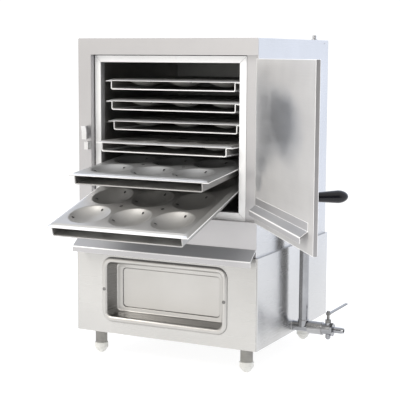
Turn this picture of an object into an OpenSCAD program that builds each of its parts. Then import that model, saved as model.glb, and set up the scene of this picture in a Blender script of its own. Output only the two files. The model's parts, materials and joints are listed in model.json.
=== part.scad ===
// Steam cabinet for idli: insulated chamber with six slide-in trays over a water box on legs.
// Millimetres, +Z up, front towards -Y. The origin lies on the floor, midway between the walls.

/* [Cabinet] */
// Width of the upper casing
upper_w = 400; // [380:5:440]
// Depth of the upper casing
upper_d = 374; // [366:2:420]
// Height of the upper casing above the seam
upper_h = 420; // [410:5:470]
// Height of the lower casing
lower_h = 182; // [176:2:220]
// How far the lower casing stands out past the upper one on each side
lower_grow = 5; // [4:0.5:8]
// Height of the lower casing's underside above the floor
leg_h = 53; // [45:1:80]
// Thickness of the casing sheet
sheet_t = 1.2; // [0.8:0.1:1.6]
// Radius of the bend along the roof's side edges
roof_r = 3; // [2:0.5:6]
// Radius of the lower casing's upright corners
corner_r = 4; // [3:0.5:8]
// How deep the upper casing sinks into the lower one
tuck = 14; // [8:1:20]

/* [Doorway] */
// Width of the left stile beside the door recess
stile_w = 30; // [26:1:36]
// Height of the rail above the door recess
top_rail = 33; // [28:1:40]
// Height of the skirt between the seam and the door recess
skirt_h = 69; // [60:1:80]
// Depth of the door recess
rebate_depth = 15; // [15:0.5:20]
// Width of the bright flange round the opening
band_w = 14.5; // [10:0.5:18]
// Clear space between the chamber's back wall and the casing's back
back_space = 25; // [18:1:34]

/* [Trays] */
// Height from one runner to the next
tray_pitch = 41.3; // [40:0.1:43]
// Height from the top runner to the top of the opening
top_gap = 39.5; // [34:0.5:46]
// Depth of a tray, front to back
tray_depth = 304.8; // [296:0.4:308]
// Clear space between a tray's side and the chamber wall
tray_side_gap = 3.1; // [2:0.1:4]
// Clear space behind a tray that is pushed right in
tray_back_gap = 4; // [2:0.5:10]
// Width of the carrier's side lips
lip_w = 12.4; // [11:0.2:16]
// Depth of the carrier under its lips
carrier_h = 16.5; // [14.5:0.5:17]
// Thickness of the carrier's sheet
carrier_t = 1; // [0.8:0.1:1.2]
// Bend radius at the carrier's lower corners
carrier_r = 4; // [3:0.5:6]
// Thickness of the hems at the carriers' open ends
hem_t = 2.2; // [1.6:0.1:2.6]
// Depth of the hems at the carriers' open ends
hem_depth = 6; // [4:0.5:10]
// Thickness of the plate's sheet
plate_t = 1; // [0.8:0.1:1.2]
// Height of the plate above its rim
plate_rise = 5; // [4:0.5:6]
// Width of the plate's sloping border
border_w = 11; // [9:0.5:13]
// Width of a bowl at the plate
bowl_d = 83; // [76:1:85]
// Depth of a bowl
bowl_depth = 15; // [12:0.5:16]
// Distance from one bowl to the next
bowl_pitch = 91; // [88:0.5:92]
// Thickness of a bowl's wall
bowl_t = 0.8; // [0.6:0.1:1]
// Width of the steam holes in a bowl
steam_hole_d = 3.5; // [2.5:0.5:5]
// Distance of the steam holes from the middle of a bowl
steam_ring = 34; // [28:1:36]
// Turn of a bowl's first steam hole
steam_turn = 75; // [0:5:115]
// Width of the holes between the bowls
relief_d = 5; // [3:0.5:8]
// How far the first tray stands out of its home
pull_1 = 11; // [0:0.5:60]
// How far the second tray stands out of its home
pull_2 = 9; // [0:0.5:60]
// How far the third tray stands out of its home
pull_3 = 1; // [0:0.5:60]
// How far the fourth tray stands out of its home
pull_4 = 49; // [0:0.5:60]
// Length of the fifth tray in front of its runners
reach_5 = 143; // [130:1:150]
// Height of the fifth tray's raised back end over its runners
tail_lift_5 = 18.1; // [12:0.1:18.2]
// Length of the sixth tray in front of its runners
reach_6 = 232; // [220:1:240]
// Height of the sixth tray's raised back end over its runners
tail_lift_6 = 21.7; // [16:0.1:22.5]

/* [Runners] */
// Distance of the runners' front ends behind the door recess
runner_setback = 15; // [10:1:24]
// Width of a runner's ledge
runner_w = 12; // [10:0.5:14]
// Height of a runner's upright leg
runner_leg = 12; // [8:1:14]
// Thickness of a runner
runner_t = 1.2; // [1:0.1:2]
// Height of a tray's lip over the runner
ride_gap = 0.3; // [0.2:0.05:0.5]

/* [Door] */
// Opening angle of the door
door_open = 128.5; // [100:0.5:170]
// Thickness of the door
door_t = 8; // [7:0.5:12]
// Thickness of the door's sheets
door_sheet = 1; // [0.8:0.1:1.2]
// Clear space between the shut door's inner face and the casing's front
door_sit = 0.5; // [0.3:0.1:1]
// Clear space between the door's free edge and the stile
door_free_gap = 1.4; // [1:0.1:3]
// Clear space under the door in its recess
door_gap_low = 1; // [1:0.5:4]
// Clear space over the door in its recess
door_gap_top = 6; // [2:0.5:8]
// Distance of the hinge axis from the casing's side
axis_side = 3.4; // [3.4:0.1:6]
// Distance of the hinge axis in front of the casing
axis_front = 5.9; // [5.5:0.1:8]
// Radius of the hinge knuckles
knuckle_r = 3.2; // [2.8:0.1:3.2]
// Radius of the hinge pins
hinge_pin_r = 1.6; // [1.2:0.1:1.8]
// Length of a hinge
hinge_h = 60; // [45:1:80]
// Width of the hinge leaves
leaf_w = 36; // [25:1:45]
// Thickness of the hinge leaves
leaf_t = 1.2; // [1:0.1:1.4]
// Distance of each hinge's middle from the door's top or bottom edge
hinge_inset = 62; // [50:1:90]
// Running clearance of the pins in the door's knuckles
run_gap = 0.05; // [0.02:0.01:0.09]

/* [Drip strips] */
// Height of the door strip's fold above the door's bottom edge
strip_up = 37.5; // [32:0.5:60]
// Height of the door strip's flange
strip_flange = 13.5; // [10:0.5:20]
// How far the door strip stands out from the door
strip_reach = 14; // [10:0.5:14]
// Fall of the door strip's slope
strip_drop = 10.5; // [6:0.5:14]
// Height of the door strip's lip
strip_lip = 10; // [6:0.5:14]
// Distance of the door strip from the hinge axis
strip_start = 12; // [10:1:30]
// Length left free between the door strip and the door's free edge
strip_end_gap = 28; // [20:1:40]
// Height of the apron's top edge above the seam
apron_up = 17.5; // [14:0.5:24]
// How far the apron stands out from the skirt
apron_reach = 28; // [22:1:36]
// Fall of the apron's slope
apron_drop = 20.5; // [12:0.5:24]
// Height of the apron's lip
apron_lip = 11; // [8:0.5:14]
// Height of the apron's flange on the skirt
apron_flange = 16; // [8:0.5:16]

/* [Latch] */
// Distance of the latch spindle from the door's free edge
latch_inset = 45; // [40:1:60]
// Height of the keeper's stop above the seam
stop_z = 211.5; // [190:0.5:230]
// Width of the latch lever
lever_w = 12; // [10:0.5:14]
// Thickness of the latch lever
lever_t = 4; // [3:0.5:5]
// Distance from the spindle to the grip
grip_arm = 58; // [50:1:70]
// Length of the tongue past the door's free edge
tongue_out = 9.5; // [8:0.5:10]
// Length of the grip
grip_len = 58; // [50:1:70]
// Diameter of the grip at its root
grip_root_d = 15; // [12:0.5:17]
// Largest diameter of the grip
grip_d = 21; // [19:0.5:26]
// Radius of the latch spindle
spindle_r = 4; // [3:0.5:5]
// Thickness of the washer under the latch lever
boss_t = 2; // [1.5:0.5:4]

/* [Service recess] */
// Width of the recess at its mouth
recess_w = 261; // [240:1:280]
// Height of the recess at its mouth
recess_h = 112; // [100:1:118]
// Depth of the recess
recess_depth = 30; // [25:1:40]
// Draft of the recess walls over their depth
recess_draft = 5.5; // [3:0.5:8]
// Radius of the recess corners
recess_r = 11; // [9:0.5:16]
// Distance of the recess's sunk panel from the mouth's sides
panel_side = 19; // [16:0.5:26]
// Distance of the sunk panel from the mouth's top and bottom
panel_end = 15; // [13:0.5:22]
// Depth of the sunk panel's step
panel_step = 3; // [2:0.5:4]
// Radius of the sunk panel's corners
panel_r = 8; // [5:0.5:12]
// Height of the recess's middle above the lower casing's underside
recess_mid = 92; // [88:1:100]
// Width of the bead round the recess
bead_w = 11; // [8:0.5:12]
// Height of the bead
bead_h = 4; // [3:0.5:5]
// Thickness of the recess's sheet
recess_t = 1; // [0.8:0.1:1.2]
// Diameter of the screw heads
screw_d = 7; // [6:0.5:8]

/* [Legs] */
// Diameter of the leg tubes
leg_d = 25.4; // [22:0.1:32]
// Wall of the leg tubes
leg_wall = 1.5; // [1:0.1:2]
// Height of the nylon feet below the tubes
foot_h = 22; // [18:0.5:28]
// Diameter of a foot's flat underside
foot_flat_d = 10; // [8:0.5:16]
// Diameter of the nylon feet
foot_d = 29; // [26:0.5:34]
// Height of a foot's tapered end
foot_nose = 12; // [8:0.5:16]
// Depth of a foot's plug in its tube
plug_h = 15; // [10:1:20]
// Distance of the legs from the lower casing's sides
leg_side_inset = 37; // [30:1:60]
// Distance of the front legs from the lower casing's front
leg_front_inset = 36; // [30:1:60]
// Distance of the rear legs from the lower casing's back
leg_rear_inset = 46; // [30:1:60]

/* [Water side] */
// Distance of the tank's front behind the service recess
tank_front_gap = 32; // [20:1:40]
// Space between the tank's sides and the chamber's sides
tank_side_gap = 8; // [6:1:20]
// Width of the tank's rim
tank_rim = 6; // [4:0.5:6]
// Height of the heater above the tank's floor
heater_up = 78; // [76:1:90]
// Diameter of the heater's tube
heater_d = 8.5; // [7:0.5:12]
// Width of the heater's hairpin
heater_width = 90; // [60:2:120]
// Distance of the heating element's bend from the tank's front
heater_setback = 60; // [50:2:80]
// Diameter of the heater's flange
heater_flange_d = 130; // [124:1:150]
// Distance of the chamber floor's holes from the tank's walls
floor_border = 30; // [20:1:40]
// Width of the chamber floor's steam holes
floor_hole_d = 8; // [5:0.5:10]

/* [Pipes] */
// Outer diameter of the pipes
pipe_d = 20; // [18:0.5:21.5]
// Bore of the pipes
pipe_bore = 15; // [12:0.5:16]
// Height of the drain's axis above the lower casing's underside
drain_z = 14; // [13.5:0.5:26]
// Distance of the drain's axis behind the upper casing's front
drain_back = 181; // [140:1:210]
// Distance of the stand pipe from the upper casing's side
stand_off = 28; // [27:1:50]
// Height of the stand pipe's upper end above the seam
stand_top = 42; // [36:1:50]
// Radius of the stand pipe's bend
bend_r = 24; // [20:1:26]
// Length of the coupling after the stand pipe
coupling_len = 32; // [24:1:36]
// Diameter of the coupling
coupling_d = 26; // [24:0.5:30]
// Length of the valve body
valve_len = 17; // [16:1:24]
// Diameter of the valve body
valve_d = 22; // [22:0.5:26]
// Width of the hexagon at the hose end, across its flats
hex_w = 24; // [22:0.5:28]
// Length of the hexagon
hex_len = 4.5; // [4:0.5:7]
// Length of the hose tail
tail_len = 22.5; // [20:0.5:36]
// Diameter of the hose tail over its barbs
tail_d = 13; // [12:0.5:15]
// Bore of the hose tail
tail_bore = 7; // [5:0.5:8]
// Number of barbs on the hose tail
barbs = 6; // [3:1:7]
// Radius of the valve stem
stem_r = 3; // [2.5:0.1:3.5]
// Height of the valve stem above the drain's axis
stem_h = 38; // [34:1:46]
// Length of the valve lever
valve_lever_len = 112; // [80:1:130]
// Radius of the valve's ball
ball_r = 8; // [7.5:0.1:8.5]
// Angle of the valve lever from the back
valve_turn = 0; // [-90:1:0]

/* [Fittings] */
// Diameter of the steam vent
vent_d = 8.4; // [7:0.2:12]
// Bore of the steam vent
vent_bore = 6; // [4:0.2:6.4]
// Height of the steam vent above the roof
vent_h = 10; // [8:0.5:20]
// Distance of the steam vent from the casing's right side
vent_side = 15; // [12:0.5:40]
// Distance of the steam vent from the casing's back
vent_back = 46; // [30:1:80]
// Diameter of the cable gland's thread
gland_d = 20; // [16:1:25]
// Distance of the cable gland from the middle
gland_side = 110; // [80:5:140]
// Height of the cable gland over the lower casing's bottom
gland_up = 60; // [40:5:80]

/* [Hidden] */
$fn = 64;
eps = 0.01;
fit_gap = 0.1;
tray_count = 6;
base_z = leg_h;
seam_z = base_z + lower_h;
roof_z = seam_z + upper_h;
side_x = upper_w / 2;
front_y = -upper_d / 2;
back_y = upper_d / 2;
low_x = side_x + lower_grow;
low_front = front_y - lower_grow;
low_back = back_y + lower_grow;
tuck_z = seam_z - tuck;
shelf_w = 16;

rebate_x = -side_x + stile_w;
rebate_z0 = seam_z + skirt_h;
rebate_z1 = roof_z - top_rail;
recess_y = front_y + rebate_depth;
open_x = side_x - stile_w - band_w;
open_z0 = rebate_z0 + band_w;
open_z1 = rebate_z1 - band_w;
chamber_y = recess_y + sheet_t;
chamber_back = back_y - sheet_t - back_space;

tray_x = open_x - tray_side_gap;
carrier_x = tray_x - lip_w;
tray_home = chamber_back - tray_back_gap - tray_depth;
runner_front = recess_y + runner_setback;
function runner_z(k) = open_z1 - top_gap - (k - 1) * tray_pitch;
pulls = [pull_1, pull_2, pull_3, pull_4];
reaches = [reach_5, reach_6];
droops = [atan(tail_lift_5 / (tray_depth - reach_5)), atan(tail_lift_6 / (tray_depth - reach_6))];
nose_r = runner_t / 2;
nose_y = runner_front + nose_r;
plate_top = carrier_t + plate_rise;
bowl_r = bowl_d / 2;
bowl_R = (bowl_r * bowl_r + bowl_depth * bowl_depth) / (2 * bowl_depth);

axis_x = side_x + axis_side;
axis_y = front_y - axis_front;
door_in = axis_front - door_sit;
door_out = door_in - door_t;
door_u0 = axis_side + 0.3;
door_u1 = axis_x - rebate_x - door_free_gap;
door_z0 = rebate_z0 + door_gap_low;
door_z1 = rebate_z1 - door_gap_top;
hinge_mids = [door_z0 + hinge_inset, door_z1 - hinge_inset];
knuckle_h = hinge_h / 3;
knuckle_gap = 0.4;

spindle_u = door_u1 - latch_inset;
spindle_z = seam_z + stop_z + lever_w / 2 + 0.5;
tongue_len = latch_inset + tongue_out;
lever_n = -door_out + boss_t + fit_gap;
keeper_out = door_sit + door_t + boss_t + lever_t + 1;
keeper_t = 2;
keeper_web = 3;
keeper_x = rebate_x - 12.4;
keeper_w = 11.5;
keeper_h = 27;
stop_w = 9.5;
stop_h = 16;

recess_z = base_z + recess_mid;
bead_line_w = recess_w + bead_w;
bead_line_h = recess_h + bead_w;
bead_line_r = recess_r + bead_w / 2;
panel_w = recess_w - 2 * panel_side;
panel_h = recess_h - 2 * panel_end;
bead_sink = (bead_w * bead_w / 4 - bead_h * bead_h) / (2 * bead_h);
bead_R = bead_h + bead_sink;
screw_x = bead_line_w / 2;

leg_x = low_x - leg_side_inset;
leg_front = low_front + leg_front_inset;
leg_rear = low_back - leg_rear_inset;
tube_h = leg_h - foot_h;

tank_x = open_x - tank_side_gap;
tank_front = low_front + recess_depth + recess_t + tank_front_gap;
tank_z0 = base_z + sheet_t;
tank_z1 = open_z0 - sheet_t;
heater_z = tank_z0 + sheet_t + heater_up;
heater_front = tank_front + heater_setback;

drain_axis_y = front_y + drain_back;
drain_axis_z = base_z + drain_z;
stand_x = side_x + stand_off;
stand_z1 = seam_z + stand_top;
tee_end = stand_x + pipe_d / 2 + 2;
coupling_end = tee_end + coupling_len;
valve_end = coupling_end + valve_len;
hex_end = valve_end + hex_len;
tail_end = hex_end + tail_len;
valve_x = coupling_end + valve_len * 0.6;
stem_top = drain_axis_z + stem_h;
neck_top = drain_axis_z + valve_d / 2 + 3;
lever_z = stem_top - 8;

vent_x = side_x - vent_side;
vent_y = back_y - vent_back;
gland_x = -gland_side;
gland_z = base_z + gland_up;

// Box between two corners
module span(low, high) {
    translate(low)
        cube(high - low);
}

// Outline in X and Z with rounded top corners, raised along Y from y0 to y1
module along_y(y0, y1) {
    translate([0, y1, 0])
        rotate([90, 0, 0])
            linear_extrude(y1 - y0)
                children();
}

// Outline in Y and Z, raised along X from x0 to x1
module along_x(x0, x1) {
    translate([x0, 0, 0])
        rotate([90, 0, 90])
            linear_extrude(x1 - x0)
                children();
}

// Rectangle of half width x from z0 to z1 with rounded top corners
module arched_outline(x, z0, z1, r) {
    translate([-x, z0])
        square([2 * x, z1 - z0 - r]);
    translate([-x + r, z0])
        square([2 * (x - r), z1 - z0]);
    for (s = [-1, 1])
        translate([s * (x - r), z1 - r])
            circle(r);
}

// Rectangle with four rounded corners, centred
module round_rect(w, h, r) {
    square([w - 2 * r, h], center = true);
    square([w, h - 2 * r], center = true);
    for (sx = [-1, 1], sy = [-1, 1])
        translate([sx * (w / 2 - r), sy * (h / 2 - r)])
            circle(r);
}

// Pipe along +X from x0 to x1 on the drain's axis
module drain_tube(x0, x1, r, bore) {
    translate([x0, drain_axis_y, drain_axis_z])
        rotate([0, 90, 0])
            difference() {
                cylinder(r = r, h = x1 - x0);
                translate([0, 0, -1])
                    cylinder(r = bore, h = x1 - x0 + 2);
            }
}

// Solid bar along +X on the drain's axis, for cutting
module drain_cut(x0, x1, r) {
    translate([x0, drain_axis_y, drain_axis_z])
        rotate([0, 90, 0])
            cylinder(r = r, h = x1 - x0);
}

module upper_casing() {
    color("gainsboro")
        difference() {
            along_y(front_y + sheet_t, back_y - sheet_t)
                arched_outline(side_x, tuck_z, roof_z, roof_r);
            along_y(front_y, back_y)
                arched_outline(side_x - sheet_t, tuck_z - 1, roof_z - sheet_t, roof_r - sheet_t / 2);
            translate([vent_x, vent_y, roof_z - sheet_t - 1])
                cylinder(d = vent_d + 2 * fit_gap, h = sheet_t + 2);
            translate([side_x - sheet_t - 1, drain_axis_y, stand_z1])
                rotate([0, 90, 0])
                    cylinder(d = pipe_d + 2 * fit_gap, h = sheet_t + 2);
        }
}

module back_panel() {
    color("gainsboro")
        along_y(back_y - sheet_t, back_y)
            arched_outline(side_x, tuck_z, roof_z, roof_r);
}

module front_frame() {
    color("lightgray") {
        difference() {
            along_y(front_y, front_y + sheet_t)
                arched_outline(side_x, tuck_z, roof_z, roof_r);
            span([rebate_x, front_y - 1, rebate_z0], [side_x + 1, front_y + sheet_t + 1, rebate_z1]);
        }
        span([rebate_x - sheet_t, front_y, rebate_z0 - sheet_t], [rebate_x, recess_y, rebate_z1 + sheet_t]);
        for (z = [rebate_z0 - sheet_t, rebate_z1])
            span([rebate_x - sheet_t, front_y, z], [side_x - sheet_t, recess_y, z + sheet_t]);
    }
}

module doorway_plate() {
    color("silver")
        difference() {
            span([rebate_x - sheet_t, recess_y, rebate_z0 - sheet_t],
                [side_x - sheet_t, chamber_y, rebate_z1 + sheet_t]);
            span([-open_x, recess_y - 1, open_z0], [open_x, chamber_y + 1, open_z1]);
        }
}

module doorway_flange() {
    color("whitesmoke")
        difference() {
            span([-open_x - band_w, recess_y - sheet_t, rebate_z0], [open_x + band_w, recess_y, rebate_z1]);
            span([-open_x, recess_y - sheet_t - 1, open_z0], [open_x, recess_y + 1, open_z1]);
        }
}

module chamber_liner() {
    color("dimgray")
        difference() {
            span([-open_x - sheet_t, chamber_y, open_z0],
                [open_x + sheet_t, chamber_back + sheet_t, open_z1 + sheet_t]);
            span([-open_x, chamber_y - 1, open_z0 - 1], [open_x, chamber_back, open_z1]);
        }
}

module chamber_floor() {
    columns = 8;
    rows = 7;
    step_x = 2 * (tank_x - floor_border) / (columns - 1);
    step_y = (chamber_back - tank_front - 2 * floor_border) / (rows - 1);
    color("dimgray")
        difference() {
            span([-open_x - sheet_t, chamber_y, open_z0 - sheet_t],
                [open_x + sheet_t, chamber_back + sheet_t, open_z0]);
            for (i = [0 : columns - 1], j = [0 : rows - 1])
                translate([-tank_x + floor_border + i * step_x, tank_front + floor_border + j * step_y,
                    open_z0 - sheet_t - 1])
                    cylinder(d = floor_hole_d, h = sheet_t + 2);
        }
}

// Six angle runners on one wall of the chamber; side is -1 on the left and 1 on the right
module runners(side) {
    color("gray")
        for (k = [1 : tray_count])
            mirror([side < 0 ? 1 : 0, 0, 0]) {
                span([open_x - runner_w, nose_y, runner_z(k) - runner_t],
                    [open_x, chamber_back, runner_z(k)]);
                translate([0, nose_y, runner_z(k) - nose_r])
                    along_x(open_x - runner_w, open_x)
                        circle(nose_r);
                span([open_x - runner_t, runner_front, runner_z(k) - runner_leg],
                    [open_x, chamber_back, runner_z(k)]);
            }
}

// Places a tray: trays 1 to 4 lie level on their runners, 5 and 6 droop over the runners' round noses
module on_runner(k) {
    if (k <= len(pulls))
        translate([0, tray_home - pulls[k - 1], runner_z(k) + ride_gap])
            children();
    else
        translate([0, nose_y, runner_z(k) - nose_r])
            rotate([droops[k - 1 - len(pulls)], 0, 0])
                translate([0, -reaches[k - 1 - len(pulls)], nose_r + ride_gap])
                    children();
}

// Carrier's channel outline: walls at half width x, floor at -h, rounded lower corners
module channel_outline(x, h, top, r) {
    translate([-x + r, -h])
        square([2 * (x - r), top + h]);
    translate([-x, -h + r])
        square([2 * x, top + h - r]);
    for (s = [-1, 1])
        translate([s * (x - r), -h + r])
            circle(r);
}

module tray_carrier(k) {
    color("silver")
        on_runner(k) {
            along_y(0, tray_depth) {
                difference() {
                    channel_outline(carrier_x, carrier_h, carrier_t, carrier_r);
                    channel_outline(carrier_x - carrier_t, carrier_h - carrier_t, carrier_t + 1,
                        carrier_r - carrier_t);
                }
                for (s = [-1, 1])
                    translate([s < 0 ? -tray_x : carrier_x - eps, 0])
                        square([lip_w + eps, carrier_t]);
            }
            for (y = [0, tray_depth - hem_depth])
                along_y(y, y + hem_depth)
                    difference() {
                        channel_outline(carrier_x - eps, carrier_h - eps, -eps, carrier_r);
                        channel_outline(carrier_x - hem_t, carrier_h - hem_t, 1, carrier_r - hem_t);
                    }
        }
}

// Sloped-edge slab that the plate's sheet is formed over
module plate_form() {
    intersection() {
        along_y(0, tray_depth)
            polygon([[-tray_x, 0], [tray_x, 0], [tray_x - border_w, plate_rise],
                [-tray_x + border_w, plate_rise]]);
        along_x(-tray_x, tray_x)
            polygon([[0, 0], [tray_depth, 0], [tray_depth - border_w, plate_rise],
                [border_w, plate_rise]]);
    }
}

// Places a child at the middle of each of the nine bowls
module each_bowl() {
    for (i = [-1 : 1], j = [-1 : 1])
        translate([i * bowl_pitch, tray_depth / 2 + j * bowl_pitch, 0])
            children();
}

module idli_plate(k) {
    color("silver")
        on_runner(k)
            difference() {
                union() {
                    translate([0, 0, carrier_t])
                        difference() {
                            plate_form();
                            translate([0, 0, -plate_t])
                                plate_form();
                        }
                    each_bowl()
                        intersection() {
                            translate([0, 0, plate_top - bowl_depth + bowl_R])
                                sphere(bowl_R + bowl_t);
                            translate([0, 0, plate_top - bowl_depth - 2 * bowl_t])
                                cylinder(r = bowl_r + 2 * bowl_t,
                                    h = bowl_depth + 2 * bowl_t - plate_t / 2);
                        }
                }
                each_bowl()
                    translate([0, 0, plate_top - bowl_depth + bowl_R])
                        sphere(bowl_R);
                each_bowl()
                    for (i = [0 : 2])
                        rotate([0, 0, steam_turn + 120 * i])
                            translate([steam_ring, 0, plate_top - bowl_depth - 3])
                                cylinder(d = steam_hole_d, h = bowl_depth);
                for (sx = [-1, 1], sy = [-1, 1])
                    translate([sx * bowl_pitch / 2, tray_depth / 2 + sy * bowl_pitch / 2, 0])
                        cylinder(d = relief_d, h = plate_top + 1);
            }
}

// Turns the door's pieces, drawn shut and relative to the hinge axis, to the door's opening angle
module on_door() {
    translate([axis_x, axis_y, 0])
        rotate([0, 0, door_open])
            children();
}

module door_outer_skin() {
    color("gainsboro")
        on_door()
            difference() {
                span([-door_u1, door_out, door_z0], [-door_u0, door_in, door_z1]);
                span([-door_u1 + door_sheet, door_out + door_sheet, door_z0 + door_sheet],
                    [-door_u0 - door_sheet, door_in + 1, door_z1 - door_sheet]);
                translate([-spindle_u, door_out - 1, spindle_z])
                    rotate([-90, 0, 0])
                        cylinder(r = spindle_r + fit_gap, h = door_sheet + 2);
            }
}

module door_inner_sheet() {
    color("darkgray")
        on_door()
            span([-door_u1 + door_sheet, door_in - door_sheet, door_z0 + door_sheet],
                [-door_u0 - door_sheet, door_in, door_z1 - door_sheet]);
}

// Folded strip outline: flange at the wall, slope away from it and a lip that hangs down.
// The wall is at 0, the fold at height z, and the flange runs from z + up to z - down.
module drip_outline(z, up, down, reach, drop, lip, t) {
    fall = drop / reach;
    under = t * sqrt(1 + fall * fall);
    polygon(concat(up > 0 ? [[0, z + up], [t, z + up], [t, z - fall * t]] : [[0, z]],
        [[reach, z - drop], [reach, z - drop - lip], [reach - t, z - drop - lip],
            [reach - t, z - drop - under + fall * t], [t, z - under - fall * t],
            [t, z - down], [0, z - down]]));
}

module door_drip_strip() {
    color("silver")
        on_door()
            translate([0, door_in, 0])
                along_x(-door_u1 + strip_end_gap, -strip_start)
                    drip_outline(door_z0 + strip_up, strip_flange, 2 * door_sheet, strip_reach, strip_drop,
                        strip_lip, door_sheet);
}

module sloped_apron() {
    color("darkgray")
        translate([0, front_y, 0])
            mirror([0, 1, 0])
                along_x(-side_x, side_x)
                    drip_outline(seam_z + apron_up, 0, apron_flange, apron_reach, apron_drop,
                        apron_lip, sheet_t);
}

module hinge_fixed_leaves() {
    leaf_x = -axis_side;
    color("silver")
        translate([axis_x, axis_y, 0])
            for (mid = hinge_mids)
                difference() {
                    union() {
                        for (s = [-1, 1])
                            translate([0, 0, mid + s * knuckle_h])
                                cylinder(r = knuckle_r, h = knuckle_h - knuckle_gap, center = true);
                        span([leaf_x, 0, mid - hinge_h / 2 + knuckle_gap / 2],
                            [leaf_x + leaf_t, leaf_w, mid + hinge_h / 2 - knuckle_gap / 2]);
                    }
                    translate([0, 0, mid - hinge_h / 2 - 1])
                        cylinder(r = hinge_pin_r + fit_gap / 5, h = hinge_h + 2);
                    span([-2 * knuckle_r, -1.2 * knuckle_r, mid - knuckle_h / 2 - knuckle_gap / 2],
                        [2 * knuckle_r, 3 * knuckle_r, mid + knuckle_h / 2 + knuckle_gap / 2]);
                }
}

module hinge_door_leaves() {
    color("silver")
        on_door()
            for (mid = hinge_mids)
                difference() {
                    union() {
                        translate([0, 0, mid])
                            cylinder(r = knuckle_r, h = knuckle_h - knuckle_gap, center = true);
                        span([-leaf_w, door_out - leaf_t, mid - knuckle_h / 2 + knuckle_gap / 2],
                            [0, door_out, mid + knuckle_h / 2 - knuckle_gap / 2]);
                        span([-leaf_w, door_out - leaf_t, mid - hinge_h / 2],
                            [-knuckle_r - 1, door_out, mid + hinge_h / 2]);
                    }
                    translate([0, 0, mid - hinge_h / 2])
                        cylinder(r = hinge_pin_r + run_gap, h = hinge_h);
                }
}

module hinge_pins() {
    color("dimgray")
        translate([axis_x, axis_y, 0])
            for (mid = hinge_mids) {
                translate([0, 0, mid - hinge_h / 2])
                    cylinder(r = hinge_pin_r, h = hinge_h);
                translate([0, 0, mid + hinge_h / 2])
                    cylinder(r1 = knuckle_r, r2 = knuckle_r - 1, h = 2);
            }
}

// Turns the latch's pieces so that their local +Z leaves the door's outer face at the spindle
module on_spindle() {
    on_door()
        translate([-spindle_u, door_out, spindle_z])
            rotate([90, 0, 0])
                children();
}

module latch_boss() {
    color("silver")
        on_spindle()
            difference() {
                cylinder(r = 2.2 * spindle_r, h = boss_t);
                translate([0, 0, -1])
                    cylinder(r = spindle_r + fit_gap / 2, h = boss_t + 2);
            }
}

module latch_spindle() {
    color("silver")
        on_spindle() {
            translate([0, 0, -door_t + 2 * door_sheet + fit_gap])
                cylinder(r = spindle_r, h = door_t - 2 * door_sheet + boss_t + lever_t + 2 * fit_gap);
            translate([0, 0, -door_t + 2 * door_sheet + fit_gap])
                cylinder(r = spindle_r + 2, h = door_t - 3 * door_sheet - 2 * fit_gap);
            translate([0, 0, boss_t + lever_t + 2 * fit_gap])
                cylinder(r1 = spindle_r + 2, r2 = spindle_r, h = 3);
        }
}

// Flat bar with round ends: tongue up and grip arm down while the latch is open
module latch_lever() {
    color("silver")
        on_spindle()
            translate([0, 0, boss_t + fit_gap])
                difference() {
                    union() {
                        translate([-lever_w / 2, -grip_arm, 0])
                            cube([lever_w, grip_arm + tongue_len - lever_w / 2, lever_t]);
                        translate([0, tongue_len - lever_w / 2, 0])
                            cylinder(d = lever_w, h = lever_t);
                        translate([0, -grip_arm, 0])
                            cylinder(d = lever_w, h = lever_t);
                        cylinder(d = lever_w + 6, h = lever_t);
                    }
                    translate([0, 0, -1])
                        cylinder(r = spindle_r + run_gap, h = lever_t + 2);
                }
}

// Tapered grip with a domed end, turned about its own axis
module latch_grip() {
    r0 = grip_root_d / 2;
    r1 = grip_d / 2;
    dome = 0.3 * grip_len;
    color("#17161f")
        on_spindle()
            translate([0, -grip_arm, boss_t + fit_gap + lever_t])
                rotate_extrude()
                    polygon(concat([[0, 0], [r0 - 1, 0], [r0, 1]],
                        [for (a = [0 : 10 : 90])
                            [r1 * cos(a), grip_len - dome + dome * sin(a)]]));
}

module latch_keeper() {
    hook_z = seam_z + stop_z + 5;
    stop_x = keeper_x + keeper_web - 0.5;
    color("silver")
        translate([0, front_y, 0]) {
            span([keeper_x, -keeper_out - keeper_t, hook_z],
                [keeper_x + keeper_web, 0, hook_z + keeper_h]);
            along_x(keeper_x, keeper_x + keeper_w)
                polygon([[-keeper_out - keeper_t, hook_z], [-keeper_out, hook_z],
                    [-keeper_out, hook_z + 0.6 * keeper_h], [-keeper_out - 3, hook_z + keeper_h],
                    [-keeper_out - keeper_t - 3, hook_z + keeper_h],
                    [-keeper_out - keeper_t, hook_z + 0.6 * keeper_h]]);
            span([stop_x, -door_sit - door_t - 4, seam_z + stop_z - stop_h],
                [stop_x + stop_w, 0, seam_z + stop_z]);
        }
}

// Outline of the lower casing, seen from above, inset by a distance
module lower_outline(inset) {
    translate([0, (low_front + low_back) / 2])
        round_rect(2 * (low_x - inset), low_back - low_front - 2 * inset,
            corner_r - min(inset, corner_r - 1));
}

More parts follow.
